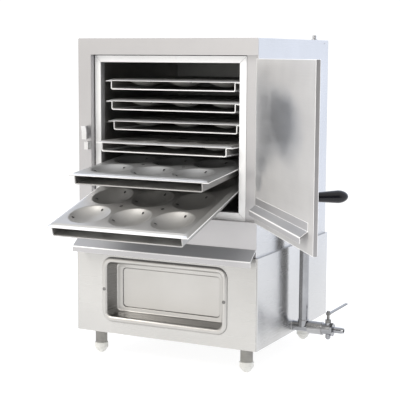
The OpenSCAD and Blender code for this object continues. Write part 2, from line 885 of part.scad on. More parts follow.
module lower_casing() {
    color("lightgray")
        difference() {
            union() {
                difference() {
                    translate([0, 0, base_z])
                        linear_extrude(lower_h)
                            lower_outline(0);
                    translate([0, 0, base_z - 1])
                        linear_extrude(lower_h - sheet_t + 1)
                            lower_outline(sheet_t);
                    span([-side_x - fit_gap, front_y - fit_gap, seam_z - sheet_t - 1],
                        [side_x + fit_gap, back_y + fit_gap, seam_z + 1]);
                }
                difference() {
                    translate([0, 0, tuck_z - sheet_t])
                        linear_extrude(sheet_t)
                            lower_outline(sheet_t / 2);
                    span([-side_x + shelf_w, front_y + shelf_w, tuck_z - sheet_t - 1],
                        [side_x - shelf_w, back_y - shelf_w, tuck_z + 1]);
                }
            }
            translate([0, low_front + sheet_t + 1, recess_z])
                rotate([90, 0, 0])
                    linear_extrude(sheet_t + 2)
                        round_rect(recess_w + 2 * recess_t + 2 * fit_gap,
                            recess_h + 2 * recess_t + 2 * fit_gap, recess_r + recess_t);
            drain_cut(low_x - sheet_t - 1, low_x + 1, pipe_d / 2 + fit_gap);
            for (s = [-1, 1])
                translate([s * screw_x, low_front - 1, recess_z])
                    rotate([-90, 0, 0])
                        cylinder(d = screw_d / 2 + 2 * fit_gap, h = sheet_t + 2);
            translate([gland_x, low_back + 1, gland_z])
                rotate([90, 0, 0])
                    cylinder(d = gland_d + 2 * fit_gap, h = sheet_t + 2);
        }
}

module bottom_plate() {
    color("gray")
        translate([0, 0, base_z])
            linear_extrude(sheet_t)
                lower_outline(sheet_t + fit_gap / 2);
}

// Half-round bead round the mouth of the recess: straight runs and quarter-ring corners
module recess_bead() {
    half_w = bead_line_w / 2 - bead_line_r;
    half_h = bead_line_h / 2 - bead_line_r;
    intersection() {
        translate([0, 0, -bead_sink])
            union() {
                for (s = [-1, 1]) {
                    translate([-half_w, s * bead_line_h / 2, 0])
                        rotate([0, 90, 0])
                            cylinder(r = bead_R, h = 2 * half_w);
                    translate([s * bead_line_w / 2, half_h, 0])
                        rotate([90, 0, 0])
                            cylinder(r = bead_R, h = 2 * half_h);
                }
                for (i = [0 : 3])
                    translate([(i == 0 || i == 3 ? 1 : -1) * half_w, (i < 2 ? 1 : -1) * half_h, 0])
                        rotate([0, 0, 90 * i])
                            rotate_extrude(angle = 90)
                                translate([bead_line_r, 0])
                                    circle(bead_R);
            }
        translate([0, 0, bead_h])
            cube([bead_line_w + 2 * bead_w, bead_line_h + 2 * bead_w, 2 * bead_h], center = true);
    }
}

// Drawn pan of the recess, mouth in the XY plane and depth along -Z: drafted walls and coned corners
module drawn_pan(w, h, depth, r) {
    half_w = w / 2 - r;
    half_h = h / 2 - r;
    along_x(-half_w, half_w)
        polygon([[-h / 2, 0], [h / 2, 0], [h / 2 - recess_draft, -depth], [-h / 2 + recess_draft, -depth]]);
    along_y(-half_h, half_h)
        polygon([[-w / 2, 0], [w / 2, 0], [w / 2 - recess_draft, -depth], [-w / 2 + recess_draft, -depth]]);
    for (sx = [-1, 1], sy = [-1, 1])
        translate([sx * half_w, sy * half_h, -depth])
            cylinder(r1 = r - recess_draft, r2 = r, h = depth);
}

module service_recess() {
    color("lightgray")
        translate([0, low_front, recess_z])
            rotate([90, 0, 0])
                difference() {
                    union() {
                        recess_bead();
                        linear_extrude(recess_t)
                            difference() {
                                round_rect(bead_line_w, bead_line_h, bead_line_r);
                                round_rect(recess_w, recess_h, recess_r);
                            }
                        difference() {
                            union() {
                                drawn_pan(recess_w + 2 * recess_t, recess_h + 2 * recess_t,
                                    recess_depth + recess_t, recess_r + recess_t);
                                translate([0, 0, -recess_depth - panel_step - recess_t])
                                    linear_extrude(panel_step + recess_t)
                                        round_rect(panel_w + 2 * recess_t, panel_h + 2 * recess_t,
                                            panel_r + recess_t);
                            }
                            translate([0, 0, eps])
                                drawn_pan(recess_w, recess_h, recess_depth, recess_r);
                            translate([0, 0, -recess_depth - panel_step])
                                linear_extrude(panel_step + 1)
                                    round_rect(panel_w, panel_h, panel_r);
                        }
                    }
                    for (s = [-1, 1])
                        translate([s * screw_x, 0, -1])
                            cylinder(d = screw_d / 2 + 2 * fit_gap, h = bead_h + 2);
                }
}

module recess_screws() {
    color("silver")
        for (s = [-1, 1])
            translate([s * screw_x, low_front - bead_h, recess_z])
                rotate([90, 0, 0]) {
                    intersection() {
                        translate([0, 0, 2 - screw_d])
                            sphere(screw_d);
                        cylinder(d = screw_d, h = 3);
                    }
                    translate([0, 0, -bead_h - sheet_t - 4])
                        cylinder(d = screw_d / 2, h = bead_h + sheet_t + 4 + eps);
                }
}

module leg(x, y) {
    color("silver")
        translate([x, y, foot_h])
            difference() {
                cylinder(d = leg_d, h = tube_h);
                translate([0, 0, -1])
                    cylinder(d = leg_d - 2 * leg_wall, h = tube_h - leg_wall + 1);
            }
}

// Push-in foot: plug in the tube, shoulder under it and a bullet-shaped end with a flat
module nylon_foot() {
    r = foot_d / 2;
    flat_r = foot_flat_d / 2;
    plug_r = leg_d / 2 - leg_wall - fit_gap;
    rim = 1.2;
    rotate_extrude()
        polygon(concat([[0, 0], [flat_r, 0]],
            [for (a = [15 : 15 : 90]) [flat_r + (r - flat_r) * (0.72 * a / 90 + 0.28 * sin(a)),
                foot_nose * (0.6 * a / 90 + 0.4 * (1 - cos(a)))]],
            [[r, foot_h - fit_gap - rim], [r - rim, foot_h - fit_gap], [plug_r, foot_h - fit_gap],
                [plug_r, foot_h + plug_h], [0, foot_h + plug_h]]));
}

module nylon_feet() {
    color("ivory")
        for (x = [-leg_x, leg_x], y = [leg_front, leg_rear])
            translate([x, y, 0])
                nylon_foot();
}

module water_tank() {
    color("silver")
        difference() {
            union() {
                span([-tank_x, tank_front, tank_z0], [tank_x, chamber_back, tank_z1]);
                span([-tank_x - tank_rim, tank_front - tank_rim, tank_z1 - sheet_t],
                    [tank_x + tank_rim, chamber_back + sheet_t, tank_z1]);
            }
            span([-tank_x + sheet_t, tank_front + sheet_t, tank_z0 + sheet_t],
                [tank_x - sheet_t, chamber_back - sheet_t, tank_z1 + 1]);
            drain_cut(tank_x - sheet_t - 1, tank_x + 1, pipe_bore / 2);
            for (s = [-1, 1])
                translate([s * heater_width / 2, chamber_back + 1, heater_z])
                    rotate([90, 0, 0])
                        cylinder(d = heater_d + 2 * fit_gap, h = sheet_t + 2);
        }
}

module heater_element() {
    bend = heater_width / 2;
    color("dimgray") {
        for (s = [-1, 1])
            translate([s * bend, chamber_back + sheet_t + 6, heater_z])
                rotate([90, 0, 0])
                    cylinder(d = heater_d, h = chamber_back + sheet_t + 6 - heater_front - bend);
        translate([0, heater_front + bend, heater_z])
            rotate([0, 0, 180])
                rotate_extrude(angle = 180)
                    translate([bend, 0])
                        circle(d = heater_d);
    }
}

module heater_flange() {
    color("silver")
        translate([0, chamber_back, heater_z])
            rotate([-90, 0, 0])
                difference() {
                    cylinder(d = heater_flange_d, h = 4);
                    for (s = [-1, 1])
                        translate([s * heater_width / 2, 0, -1])
                            cylinder(d = heater_d + 2 * fit_gap, h = 6);
                }
}

module cable_gland() {
    color("#33343a")
        translate([gland_x, low_back, gland_z])
            rotate([-90, 0, 0])
                difference() {
                    union() {
                        translate([0, 0, -sheet_t - 8])
                            cylinder(d = gland_d, h = sheet_t + 9);
                        cylinder(d = gland_d * 1.3, h = 5, $fn = 6);
                        translate([0, 0, 5])
                            cylinder(d1 = gland_d * 1.15, d2 = gland_d * 0.8, h = 9);
                    }
                    translate([0, 0, -sheet_t - 9])
                        cylinder(d = gland_d * 0.45, h = 30);
                }
}

// Straight pipe from the tank through the casing to the coupling, with a saddle for the stand pipe
module drain_pipe() {
    color("silver")
        difference() {
            union() {
                drain_tube(tank_x, tee_end, pipe_d / 2, pipe_bore / 2);
                translate([stand_x, drain_axis_y, drain_axis_z])
                    cylinder(d = pipe_d + 2, h = pipe_d / 2 + 4);
            }
            drain_cut(tank_x - 1, tee_end + 1, pipe_bore / 2);
            translate([stand_x, drain_axis_y, drain_axis_z])
                cylinder(d = pipe_bore, h = pipe_d);
        }
}

// Upright pipe beside the casing that bends into the chamber's side above the seam
module stand_pipe() {
    r = pipe_d / 2;
    foot_z = drain_axis_z + r + 4;
    color("silver")
        translate([stand_x, drain_axis_y, 0])
            difference() {
                union() {
                    translate([0, 0, foot_z])
                        cylinder(r = r, h = stand_z1 - bend_r - foot_z);
                    translate([-bend_r, 0, stand_z1 - bend_r])
                        rotate([90, 0, 0])
                            rotate_extrude(angle = 90)
                                translate([bend_r, 0])
                                    circle(r);
                    translate([-bend_r, 0, stand_z1])
                        rotate([0, -90, 0])
                            cylinder(r = r, h = stand_off - bend_r + sheet_t + 6);
                }
                translate([0, 0, foot_z - 1])
                    cylinder(d = pipe_bore, h = stand_z1 - bend_r - foot_z + 1);
                translate([-bend_r, 0, stand_z1 - bend_r])
                    rotate([90, 0, 0])
                        rotate_extrude(angle = 90)
                            translate([bend_r, 0])
                                circle(d = pipe_bore);
                translate([-bend_r, 0, stand_z1])
                    rotate([0, -90, 0])
                        cylinder(d = pipe_bore, h = stand_off - bend_r + sheet_t + 7);
            }
}

module pipe_coupling() {
    ring = 3.5;
    color("darkgray")
        difference() {
            union() {
                drain_cut(tee_end, coupling_end - ring, coupling_d / 2);
                drain_cut(coupling_end - ring, coupling_end - 1, coupling_d / 2 + 1);
                drain_cut(coupling_end - 1, coupling_end, coupling_d / 2 - 2);
            }
            drain_cut(tee_end - 1, coupling_end + 1, pipe_bore / 2);
        }
}

// Body with a round waist, a hexagon at the hose end, a neck for the stem and a ball chamber
module valve_body() {
    color("silver")
        difference() {
            union() {
                drain_cut(coupling_end, valve_end, valve_d / 2);
                translate([valve_end, drain_axis_y, drain_axis_z])
                    rotate([0, 90, 0])
                        cylinder(d = hex_w / cos(30), h = hex_len, $fn = 6);
                translate([valve_x, drain_axis_y, drain_axis_z])
                    cylinder(r = stem_r + 3, h = neck_top - drain_axis_z);
                translate([valve_x, drain_axis_y, drain_axis_z - valve_d / 2 - 2])
                    cylinder(r = stem_r + 2, h = valve_d / 2);
            }
            drain_cut(coupling_end - 1, hex_end + 1, tail_bore / 2);
            translate([valve_x, drain_axis_y, drain_axis_z])
                sphere(ball_r + 3 * fit_gap);
            translate([valve_x, drain_axis_y, drain_axis_z])
                cylinder(r = stem_r + 3 * fit_gap, h = neck_top);
        }
}

// Turns the valve's moving pieces about the stem
module on_stem() {
    translate([valve_x, drain_axis_y, 0])
        rotate([0, 0, valve_turn])
            children();
}

module valve_ball() {
    color("gainsboro")
        on_stem()
            translate([0, 0, drain_axis_z])
                difference() {
                    sphere(ball_r);
                    rotate([90, 0, 0])
                        cylinder(d = tail_bore, h = 3 * ball_r, center = true);
                    translate([0, 0, ball_r - 2])
                        cylinder(r = stem_r + fit_gap, h = 3);
                }
}

module valve_stem() {
    color("silver")
        on_stem()
            difference() {
                translate([0, 0, drain_axis_z + ball_r - 2])
                    cylinder(r = stem_r, h = stem_top - drain_axis_z - ball_r + 2);
                translate([-5, -0.6, stem_top - 3])
                    cube([10, 1.2, 4]);
            }
}

module gland_nut() {
    color("silver")
        translate([valve_x, drain_axis_y, neck_top])
            difference() {
                cylinder(r = stem_r + 3.5, h = 6, $fn = 6);
                translate([0, 0, -1])
                    cylinder(r = stem_r + run_gap, h = 8);
            }
}

// Flat lever on the stem, pointing back while the valve is shut
module valve_lever() {
    width = 7;
    thick = 2.5;
    color("gainsboro")
        on_stem()
            translate([0, 0, lever_z])
                difference() {
                    union() {
                        cylinder(r = stem_r + 2, h = thick);
                        translate([-width / 2, 0, 0])
                            cube([width, valve_lever_len - width / 2, thick]);
                        translate([0, valve_lever_len - width / 2, 0])
                            cylinder(d = width, h = thick);
                    }
                    translate([0, 0, -1])
                        cylinder(r = stem_r + fit_gap / 5, h = thick + 2);
                }
}

module lever_nut() {
    color("silver")
        on_stem()
            translate([0, 0, lever_z + 2.5])
                difference() {
                    cylinder(r = stem_r + 2.2, h = 2.4, $fn = 6);
                    translate([0, 0, -1])
                        cylinder(r = stem_r + fit_gap / 5, h = 5);
                }
}

// Hose tail with saw-tooth barbs
module hose_tail() {
    step = (tail_len - 6) / barbs;
    root = tail_d / 2 - 1;
    color("silver")
        translate([hex_end, drain_axis_y, drain_axis_z])
            rotate([0, 90, 0])
                rotate_extrude()
                    polygon(concat([[tail_bore / 2, 0], [root, 0], [root, 3]],
                        [for (i = [0 : barbs - 1],
                            p = [[tail_d / 2, 3 + i * step], [root, 3 + (i + 1) * step]]) p],
                        [[root, tail_len], [tail_bore / 2, tail_len]]));
}

module drain_cap() {
    color("silver")
        translate([valve_x, drain_axis_y, drain_axis_z - valve_d / 2 - 10])
            union() {
                cylinder(r1 = 3, r2 = 5.5, h = 3);
                translate([0, 0, 3])
                    cylinder(r = 5.5, h = 5);
            }
}

module steam_vent() {
    color("silver")
        translate([vent_x, vent_y, roof_z])
            difference() {
                union() {
                    translate([0, 0, -sheet_t - 5])
                        cylinder(d = vent_d, h = vent_h + sheet_t + 5);
                    cylinder(d = vent_d + 5, h = 1.5);
                }
                translate([0, 0, -sheet_t - 6])
                    cylinder(d = vent_bore, h = vent_h + sheet_t + 8);
            }
}

upper_casing();
back_panel();
front_frame();
doorway_plate();
doorway_flange();
chamber_liner();
chamber_floor();
runners(-1);  // left_runners
runners(1);  // right_runners
for (k = [1 : tray_count]) {
    idli_plate(k);
    tray_carrier(k);
}
door_outer_skin();
door_inner_sheet();
door_drip_strip();
hinge_fixed_leaves();
hinge_door_leaves();
hinge_pins();
latch_boss();
latch_spindle();
latch_lever();
latch_grip();
latch_keeper();
sloped_apron();
lower_casing();
bottom_plate();
service_recess();
recess_screws();
leg(-leg_x, leg_front);  // leg_front_left
leg(leg_x, leg_front);  // leg_front_right
leg(-leg_x, leg_rear);  // leg_rear_left
leg(leg_x, leg_rear);  // leg_rear_right
nylon_feet();
water_tank();
heater_element();
heater_flange();
cable_gland();
drain_pipe();
stand_pipe();
pipe_coupling();
valve_body();
valve_ball();
valve_stem();
gland_nut();
valve_lever();
lever_nut();
hose_tail();
drain_cap();
steam_vent();
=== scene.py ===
# Idli steam cabinet in stainless sheet: looks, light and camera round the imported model
import json
import math

import bmesh
import bpy
from mathutils import Matrix, Vector


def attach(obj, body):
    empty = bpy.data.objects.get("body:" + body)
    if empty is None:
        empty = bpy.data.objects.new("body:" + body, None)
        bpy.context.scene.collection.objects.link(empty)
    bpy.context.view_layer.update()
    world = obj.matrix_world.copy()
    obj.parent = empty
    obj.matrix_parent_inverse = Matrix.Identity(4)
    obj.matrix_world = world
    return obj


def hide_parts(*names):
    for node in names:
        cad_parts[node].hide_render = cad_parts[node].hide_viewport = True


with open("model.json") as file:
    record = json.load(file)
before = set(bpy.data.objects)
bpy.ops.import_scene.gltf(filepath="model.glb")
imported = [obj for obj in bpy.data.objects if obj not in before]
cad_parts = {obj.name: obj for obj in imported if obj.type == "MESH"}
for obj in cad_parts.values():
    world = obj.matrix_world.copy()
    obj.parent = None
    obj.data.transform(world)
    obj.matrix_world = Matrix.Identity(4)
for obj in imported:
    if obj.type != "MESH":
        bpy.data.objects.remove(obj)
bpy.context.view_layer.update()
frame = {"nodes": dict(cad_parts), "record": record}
nodes = frame["nodes"]
mm = 0.001
trayNumbers = range(1, 7)                 # counted from the top
print("frame loaded with", len(nodes), "nodes")

# camera, solved from the cabinet's straight edges; the picture is square
cameraLook = {
    "place": (1.06586, -2.14552, 0.62111),            # metres
    "yaw": 26.748, "pitch": 7.274, "roll": 0.263,     # degrees
    "focalPixels": 1131.48, "picturePixels": 400, "sensor": 36.0, "farClip": 60,
}


def placeCamera(look):
    yaw, pitch, roll = (math.radians(look[k]) for k in ("yaw", "pitch", "roll"))
    ahead = Vector((-math.sin(yaw) * math.cos(pitch), math.cos(yaw) * math.cos(pitch), -math.sin(pitch)))
    right = Vector((math.cos(yaw), math.sin(yaw), 0))
    up = right.cross(ahead)
    side = right * math.cos(roll) + up * math.sin(roll)
    top = up * math.cos(roll) - right * math.sin(roll)
    data = bpy.data.cameras.new("photoCamera")
    data.sensor_width = look["sensor"]
    data.lens = look["focalPixels"] / look["picturePixels"] * look["sensor"]
    data.clip_end = look["farClip"]
    eye = bpy.data.objects.new("photoCamera", data)
    turn = Matrix((side, top, -ahead)).transposed().to_4x4()
    eye.matrix_world = Matrix.Translation(Vector(look["place"])) @ turn
    bpy.context.scene.collection.objects.link(eye)
    bpy.context.scene.camera = eye


placeCamera(cameraLook)
print("camera placed")


def linearFromHex(text):
    parts = [int(text[i:i + 2], 16) / 255 for i in (1, 3, 5)]
    return [c / 12.92 if c <= 0.04045 else ((c + 0.055) / 1.055) ** 2.4 for c in parts] + [1.0]


def addNode(tree, kind, settings=(), links=()):
    node = tree.nodes.new("ShaderNode" + kind)
    for name, value in dict(settings).items():
        if isinstance(name, int) or name in node.inputs:
            node.inputs[name].default_value = value
        else:
            setattr(node, name, value)
    for name, source in dict(links).items():
        tree.links.new(source, node.inputs[name])
    return node


def newMaterial(name):
    material = bpy.data.materials.new(name)
    material.use_nodes = True
    material.node_tree.nodes.clear()
    return material, material.node_tree


noiseSpan = (0.3, 0.7)                    # most of a noise's values lie between these


# stainless sheet, rolled and then brushed or buffed: a grey mirror, blurred along the grain and
# bent by the slight waves of thin sheet; the grain is drawn coarser than its real 0.1 mm to show
def makeSteel(name, look):
    material, tree = newMaterial(name)
    rough, spread, (low, high) = look["rough"], look["roughSpread"], noiseSpan
    spot = addNode(tree, "TexCoord").outputs["Object"]
    grainScale = [1000 / size for size in look["grainMm"]]
    stretched = addNode(tree, "Mapping", {"Scale": grainScale}, {"Vector": spot})
    grain = addNode(tree, "TexNoise", {"Scale": 1.0, "Detail": 3.0, "Roughness": 0.65},
                    {"Vector": stretched.outputs["Vector"]})
    cloud = addNode(tree, "TexNoise", {"Scale": 1000 / look["cloudMm"], "Detail": 4.0, "Roughness": 0.55},
                    {"Vector": spot})
    wave = addNode(tree, "TexNoise", {"Scale": 1000 / look["waveMm"], "Detail": 1.0}, {"Vector": spot})
    tone = addNode(tree, "ValToRGB", {}, {"Fac": cloud.outputs["Fac"]})
    dark, light = tone.color_ramp.elements
    dark.position, light.position = noiseSpan
    dark.color, light.color = linearFromHex(look["shade"]), linearFromHex(look["tint"])
    smear = addNode(tree, "MapRange", {1: low, 2: high, 3: rough - spread, 4: rough + spread},
                    {0: grain.outputs["Fac"]})
    ripple = addNode(tree, "Bump", {"Strength": look["waveBump"], "Distance": 4 * mm},
                     {"Height": wave.outputs["Fac"]})
    scratch = addNode(tree, "Bump", {"Strength": look["grainBump"], "Distance": 0.4 * mm},
                      {"Height": grain.outputs["Fac"], "Normal": ripple.outputs["Normal"]})
    colour, smeared, extra = tone.outputs["Color"], smear.outputs["Result"], {}
    if "rubbed" in look:
        rub = look["rubbed"]
        worn = rubbedPatches(tree, spot, rub)
        colour = addNode(tree, "MixRGB", {"Color2": linearFromHex(rub["tint"])},
                         {"Fac": worn, "Color1": colour}).outputs["Color"]
        smeared = addNode(tree, "Math", {"operation": "MULTIPLY_ADD", 1: rub["rough"] - rough},
                          {0: worn, 2: smeared}).outputs["Value"]
        extra["Metallic"] = addNode(tree, "MapRange", {3: look["metallic"], 4: 1.0}, {0: worn}).outputs["Result"]
    if "brushed" in look:                 # glints spread upright on walls and, by the small Y part, to the back on top
        extra["Tangent"] = addNode(tree, "CombineXYZ", {"Y": 0.02, "Z": 1.0}).outputs["Vector"]
    shader = addNode(tree, "BsdfPrincipled", {"Metallic": look.get("metallic", 1.0),
                                              "Anisotropic": look.get("brushed", 0.0)},
                     {"Base Color": colour, "Roughness": smeared, "Normal": scratch.outputs["Normal"], **extra})
    addNode(tree, "OutputMaterial", {}, {"Surface": shader.outputs["BSDF"]})
    return material


# ragged patches, each in its own turned ellipse, joined into one mask that is 1 where the sheet is rubbed
def rubbedPatches(tree, spot, rub):
    worn = None
    for patch in rub["patches"]:
        turn = (0, math.radians(patch["tilt"]), math.radians(rub["turn"]))
        placed = addNode(tree, "Mapping", {"vector_type": "TEXTURE", "Location": Vector(patch["at"]) * mm,
                                           "Rotation": turn, "Scale": Vector(patch["half"]) * mm}, {"Vector": spot})
        noise = addNode(tree, "TexNoise", {"Scale": 1000 / patch["raggedMm"], "Detail": 3.0}, {"Vector": spot})
        bent = addNode(tree, "VectorMath", {"operation": "MULTIPLY_ADD", 1: [rub["ragged"]] * 3},
                       {0: noise.outputs["Color"], 2: placed.outputs["Vector"]})
        centred = addNode(tree, "VectorMath", {"operation": "SUBTRACT", 1: [rub["ragged"] / 2] * 3},
                          {0: bent.outputs["Vector"]})
        away = addNode(tree, "VectorMath", {"operation": "LENGTH"}, {0: centred.outputs["Vector"]})
        fade = addNode(tree, "MapRange", {"interpolation_type": "SMOOTHSTEP", 1: rub["full"], 2: rub["gone"],
                                          3: patch["strength"], 4: 0.0}, {0: away.outputs["Value"]})
        mask = fade.outputs["Result"]
        if worn:
            mask = addNode(tree, "Math", {"operation": "MAXIMUM"}, {0: worn, 1: mask}).outputs["Value"]
        worn = mask
    return worn


satinSheet = {
    "tint": "#c6c5c6", "shade": "#bebdbf", "rough": 0.38, "roughSpread": 0.05,
    "grainMm": (160, 160, 1.4), "cloudMm": 180, "waveMm": 150, "waveBump": 0.06, "grainBump": 0.05,
}
# satin sheet as rolled: wide soft reflections with faint level brushing
steelSheet = makeSteel("satinStainlessSheet", satinSheet)
# polished and brushed level: clear reflections, drawn out upright
steelCasing = makeSteel("polishedStainlessCasing", dict(
    satinSheet, tint="#cccbc9", shade="#c3c2c0", rough=0.26, roughSpread=0.02, waveBump=0.03, grainBump=0.006,
    brushed=1.0))
# the door's inner sheet, matt from steam and rubbed bright by hands near the hinge, where it then mirrors the
# dark chamber; places in mm with the door as shown, and full and gone count in radii of each ellipse
doorRubs = {
    "turn": -51.5, "ragged": 0.6, "full": 0.4, "gone": 1.1, "tint": "#d0d2d6", "rough": 0.34,
    "patches": [
        {"at": (305, -329, 505), "tilt": 4, "half": (138, 60, 76), "raggedMm": 70, "strength": 1.0},
        {"at": (236, -243, 500), "tilt": 4, "half": (130, 60, 96), "raggedMm": 60, "strength": 0.85},
        {"at": (219, -222, 440), "tilt": 0, "half": (70, 60, 52), "raggedMm": 40, "strength": 0.8},
        {"at": (216, -217, 388), "tilt": 0, "half": (30, 60, 26), "raggedMm": 30, "strength": 0.6},
    ],
}
steelDoor = makeSteel("mattStainlessDoorSheet", dict(
    satinSheet, tint="#cbcac9", shade="#c0bfbf", rough=0.4, metallic=0.35, cloudMm=90, rubbed=doorRubs))
# strip folded and left unpolished: a broad dull shine
steelFolded = makeSteel("foldedStainlessStrip", dict(satinSheet, rough=0.5, metallic=0.85))
# flange nearly white, with hardly a reflection of its own: the white is a painted reflection of the bright room
steelFlangeWhite = makeSteel("paintedReflectionFlange", dict(
    satinSheet, tint="#ffffff", shade="#f6f6f6", rough=0.35, metallic=0.15))
# sloping faces in an even mid grey: painted shade on the upper side of the slopes
steelSlopeShade = makeSteel("paintedShadeSlope", dict(
    satinSheet, tint="#a8a9ac", shade="#9c9da1", rough=0.45, metallic=0.35))
# the flange's sheared return: a flat grey, darker than the white flange beside it
steelJamb = makeSteel("flatGreyStainlessJamb", dict(
    satinSheet, tint="#b4b4b6", shade="#a6a6a8", rough=0.45, metallic=0.4))
# drawn pan: a little warmer than the casing
steelRecess = makeSteel("deepDrawnStainlessPan", dict(satinSheet, tint="#c9c7c4", shade="#bfbdb9"))
# steep drawn walls and the bead's feet, darker than the faces they join: painted shade in the recess
steelWallShade = makeSteel("paintedShadeRecessWall", dict(satinSheet, tint="#a09f9e", shade="#8f8e8d", rough=0.3))
# cast and tumbled: pale and soft, without grain to see
steelCast = makeSteel("castStainlessKeeper", dict(satinSheet, tint="#e4e4e4", shade="#d8d8d8", metallic=0.6))
# folds and sheared edges in near-white steel: painted highlights, thin white lines along the sheet
steelFoldHighlight = makeSteel("paintedHighlightFold", dict(
    satinSheet, tint="#ffffff", shade="#f4f4f4", rough=0.35, metallic=0.15))
# liner stained by steam: blotchy and dull, so that the chamber stays dark
steelLiner = makeSteel("steamStainedLiner", dict(satinSheet, tint="#a9a9a7", shade="#868684", rough=0.45))
# plates pressed from annealed sheet: no grain, a soft sheen that shades round each bowl
trayLook = dict(satinSheet, tint="#bcbbb9", shade="#aeadab", rough=0.42, metallic=0.78, grainMm=(60, 60, 60),
                waveMm=60)
steelTray = makeSteel("pressedStainlessTray", trayLook)
# the same plate, a shade darker and cooler, for one tray
steelTrayDarker = makeSteel("darkerCoolerTray", dict(trayLook, tint="#b3b4b5", shade="#a4a5a6"))
# border's lower half at the front, made pale: a painted highlight, a pale line at the front
steelBorderHighlight = makeSteel("paintedHighlightTrayBorder", dict(trayLook, tint="#eceef2", shade="#d4d6da", metallic=0.5))
# punched hole walls made near black: painted shade in the holes, small dark dots
steelHoleShade = makeSteel("paintedShadeHoleEdge", dict(trayLook, tint="#38383a", shade="#2a2a2c"))
# underside made pale: painted light, so the bowls show pale from below
steelUndersideLit = makeSteel("paintedLightTrayUnderside", dict(trayLook, tint="#dededc", shade="#d2d2d0", metallic=0.3))
# turned fittings: bright, with tight highlights
steelFitting = makeSteel("turnedStainlessFitting", dict(
    satinSheet, tint="#b9b9ba", shade="#a6a6a8", rough=0.22, cloudMm=30, waveMm=40, waveBump=0.02))
# screws and valve parts tumbled in bulk: darker and duller than turned work
steelHardware = makeSteel("tumbledStainlessHardware", dict(
    satinSheet, tint="#8b8a88", shade="#747372", rough=0.28, cloudMm=8, waveMm=40, waveBump=0.02))
# drawn tube in a darker grey, slightly streaked: painted shade under the cabinet
steelLegShade = makeSteel("paintedShadeLegTube", dict(
    satinSheet, tint="#95948f", shade="#817f7c", rough=0.3, cloudMm=25, waveMm=40, waveBump=0.03))
# polished pipe in a darker grey: painted reflection of the dark room around it, with sharp dark and light stripes
# along its length
steelPipeShade = makeSteel("paintedShadePolishedPipe", dict(
    satinSheet, tint="#a3a4a7", shade="#929396", rough=0.15, cloudMm=40, waveMm=60, waveBump=0.02))
# heater sheath under lime scale: brown grey and matt
heaterSkin = makeSteel("scaledHeaterSheath", dict(
    satinSheet, tint="#6d6965", shade="#54504d", rough=0.5, cloudMm=12))


glossSpread = 0.2                         # how far the mottling moves a plastic's roughness


# moulded plastics: one dielectric skin with faint mottling and a soft moulded texture
def makePlastic(name, look):
    material, tree = newMaterial(name)
    rough, (low, high) = look["rough"], noiseSpan
    spot = addNode(tree, "TexCoord").outputs["Object"]
    mottle = addNode(tree, "TexNoise", {"Scale": 1000 / look["mottleMm"], "Detail": 3.0}, {"Vector": spot})
    tone = addNode(tree, "ValToRGB", {}, {"Fac": mottle.outputs["Fac"]})
    dark, light = tone.color_ramp.elements
    dark.color, light.color = linearFromHex(look["shade"]), linearFromHex(look["tint"])
    smear = addNode(tree, "MapRange", {1: low, 2: high, 3: rough * (1 - glossSpread), 4: rough * (1 + glossSpread)},
                    {0: mottle.outputs["Fac"]})
    skin = addNode(tree, "Bump", {"Strength": look["bump"], "Distance": 0.5 * mm}, {"Height": mottle.outputs["Fac"]})
    shader = addNode(tree, "BsdfPrincipled", {"IOR": look["ior"], "Subsurface Weight": look.get("milky", 0.0),
                                              "Subsurface Radius": [4 * mm] * 3},
                     {"Base Color": tone.outputs["Color"], "Roughness": smear.outputs["Result"],
                      "Normal": skin.outputs["Normal"]})
    addNode(tree, "OutputMaterial", {}, {"Surface": shader.outputs["BSDF"]})
    return material


# phenolic, pressed in a polished mould: near black with sharp highlights
phenolic = makePlastic("glossyPhenolicGrip", {
    "tint": "#12121a", "shade": "#0b0b11", "rough": 0.2, "bump": 0.02, "ior": 1.42, "mottleMm": 9})
# natural nylon, moulded: milky white, lit a little from inside
nylon = makePlastic("milkyNylonFoot", {
    "tint": "#dfdfdb", "shade": "#d1d0cc", "rough": 0.42, "bump": 0.05, "ior": 1.53, "mottleMm": 6, "milky": 0.25})
# matt dark strips in the joint round the doorway: painted shadow of the gap there
gapShadow = makePlastic("paintedShadowGapStrip", {
    "tint": "#2c2b2c", "shade": "#1f1e20", "rough": 0.6, "bump": 0.1, "ior": 1.41, "mottleMm": 5})
# filled polyamide, moulded: dark grey with a fine dull skin
glandPlastic = makePlastic("mouldedPolyamideGland", {
    "tint": "#36373d", "shade": "#2b2c31", "rough": 0.45, "bump": 0.08, "ior": 1.53, "mottleMm": 3})

# the near-white flange is a painted reflection; the darker slopes, legs and pipes are painted shade
finishes = {
    steelCasing: ["upper_casing", "back_panel", "lower_casing", "bottom_plate"],
    steelSheet: ["front_frame", "doorway_plate", "door_outer_skin", "hinge_fixed_leaves", "hinge_door_leaves",
                 "service_recess", "water_tank"],
    steelDoor: ["door_inner_sheet"],
    steelFolded: ["door_drip_strip", "sloped_apron"],
    steelFlangeWhite: ["doorway_flange"],
    steelCast: ["latch_keeper"],
    steelLiner: ["chamber_liner", "chamber_floor", "left_runners", "right_runners"],
    steelTray: [f"{kind}_{k}" for kind in ("idli_plate", "tray_carrier") for k in trayNumbers],
    steelLegShade: ["leg_front_left", "leg_front_right", "leg_rear_left", "leg_rear_right"],
    steelFitting: ["hinge_pins", "latch_boss", "latch_spindle", "latch_lever", "heater_flange", "pipe_coupling",
                   "steam_vent"],
    steelHardware: ["recess_screws", "valve_stem", "gland_nut", "valve_lever", "lever_nut"],
    steelPipeShade: ["drain_pipe", "stand_pipe", "valve_body", "valve_ball", "hose_tail", "drain_cap"],
    heaterSkin: ["heater_element"],
    phenolic: ["latch_grip"],
    nylon: ["nylon_feet"],
    glandPlastic: ["cable_gland"],
}
for material, names in finishes.items():
    for name in names:
        slots = nodes[name].data.materials
        slots.clear()
        slots.append(material)
print("finishes set on", sum(len(names) for names in finishes.values()), "nodes")

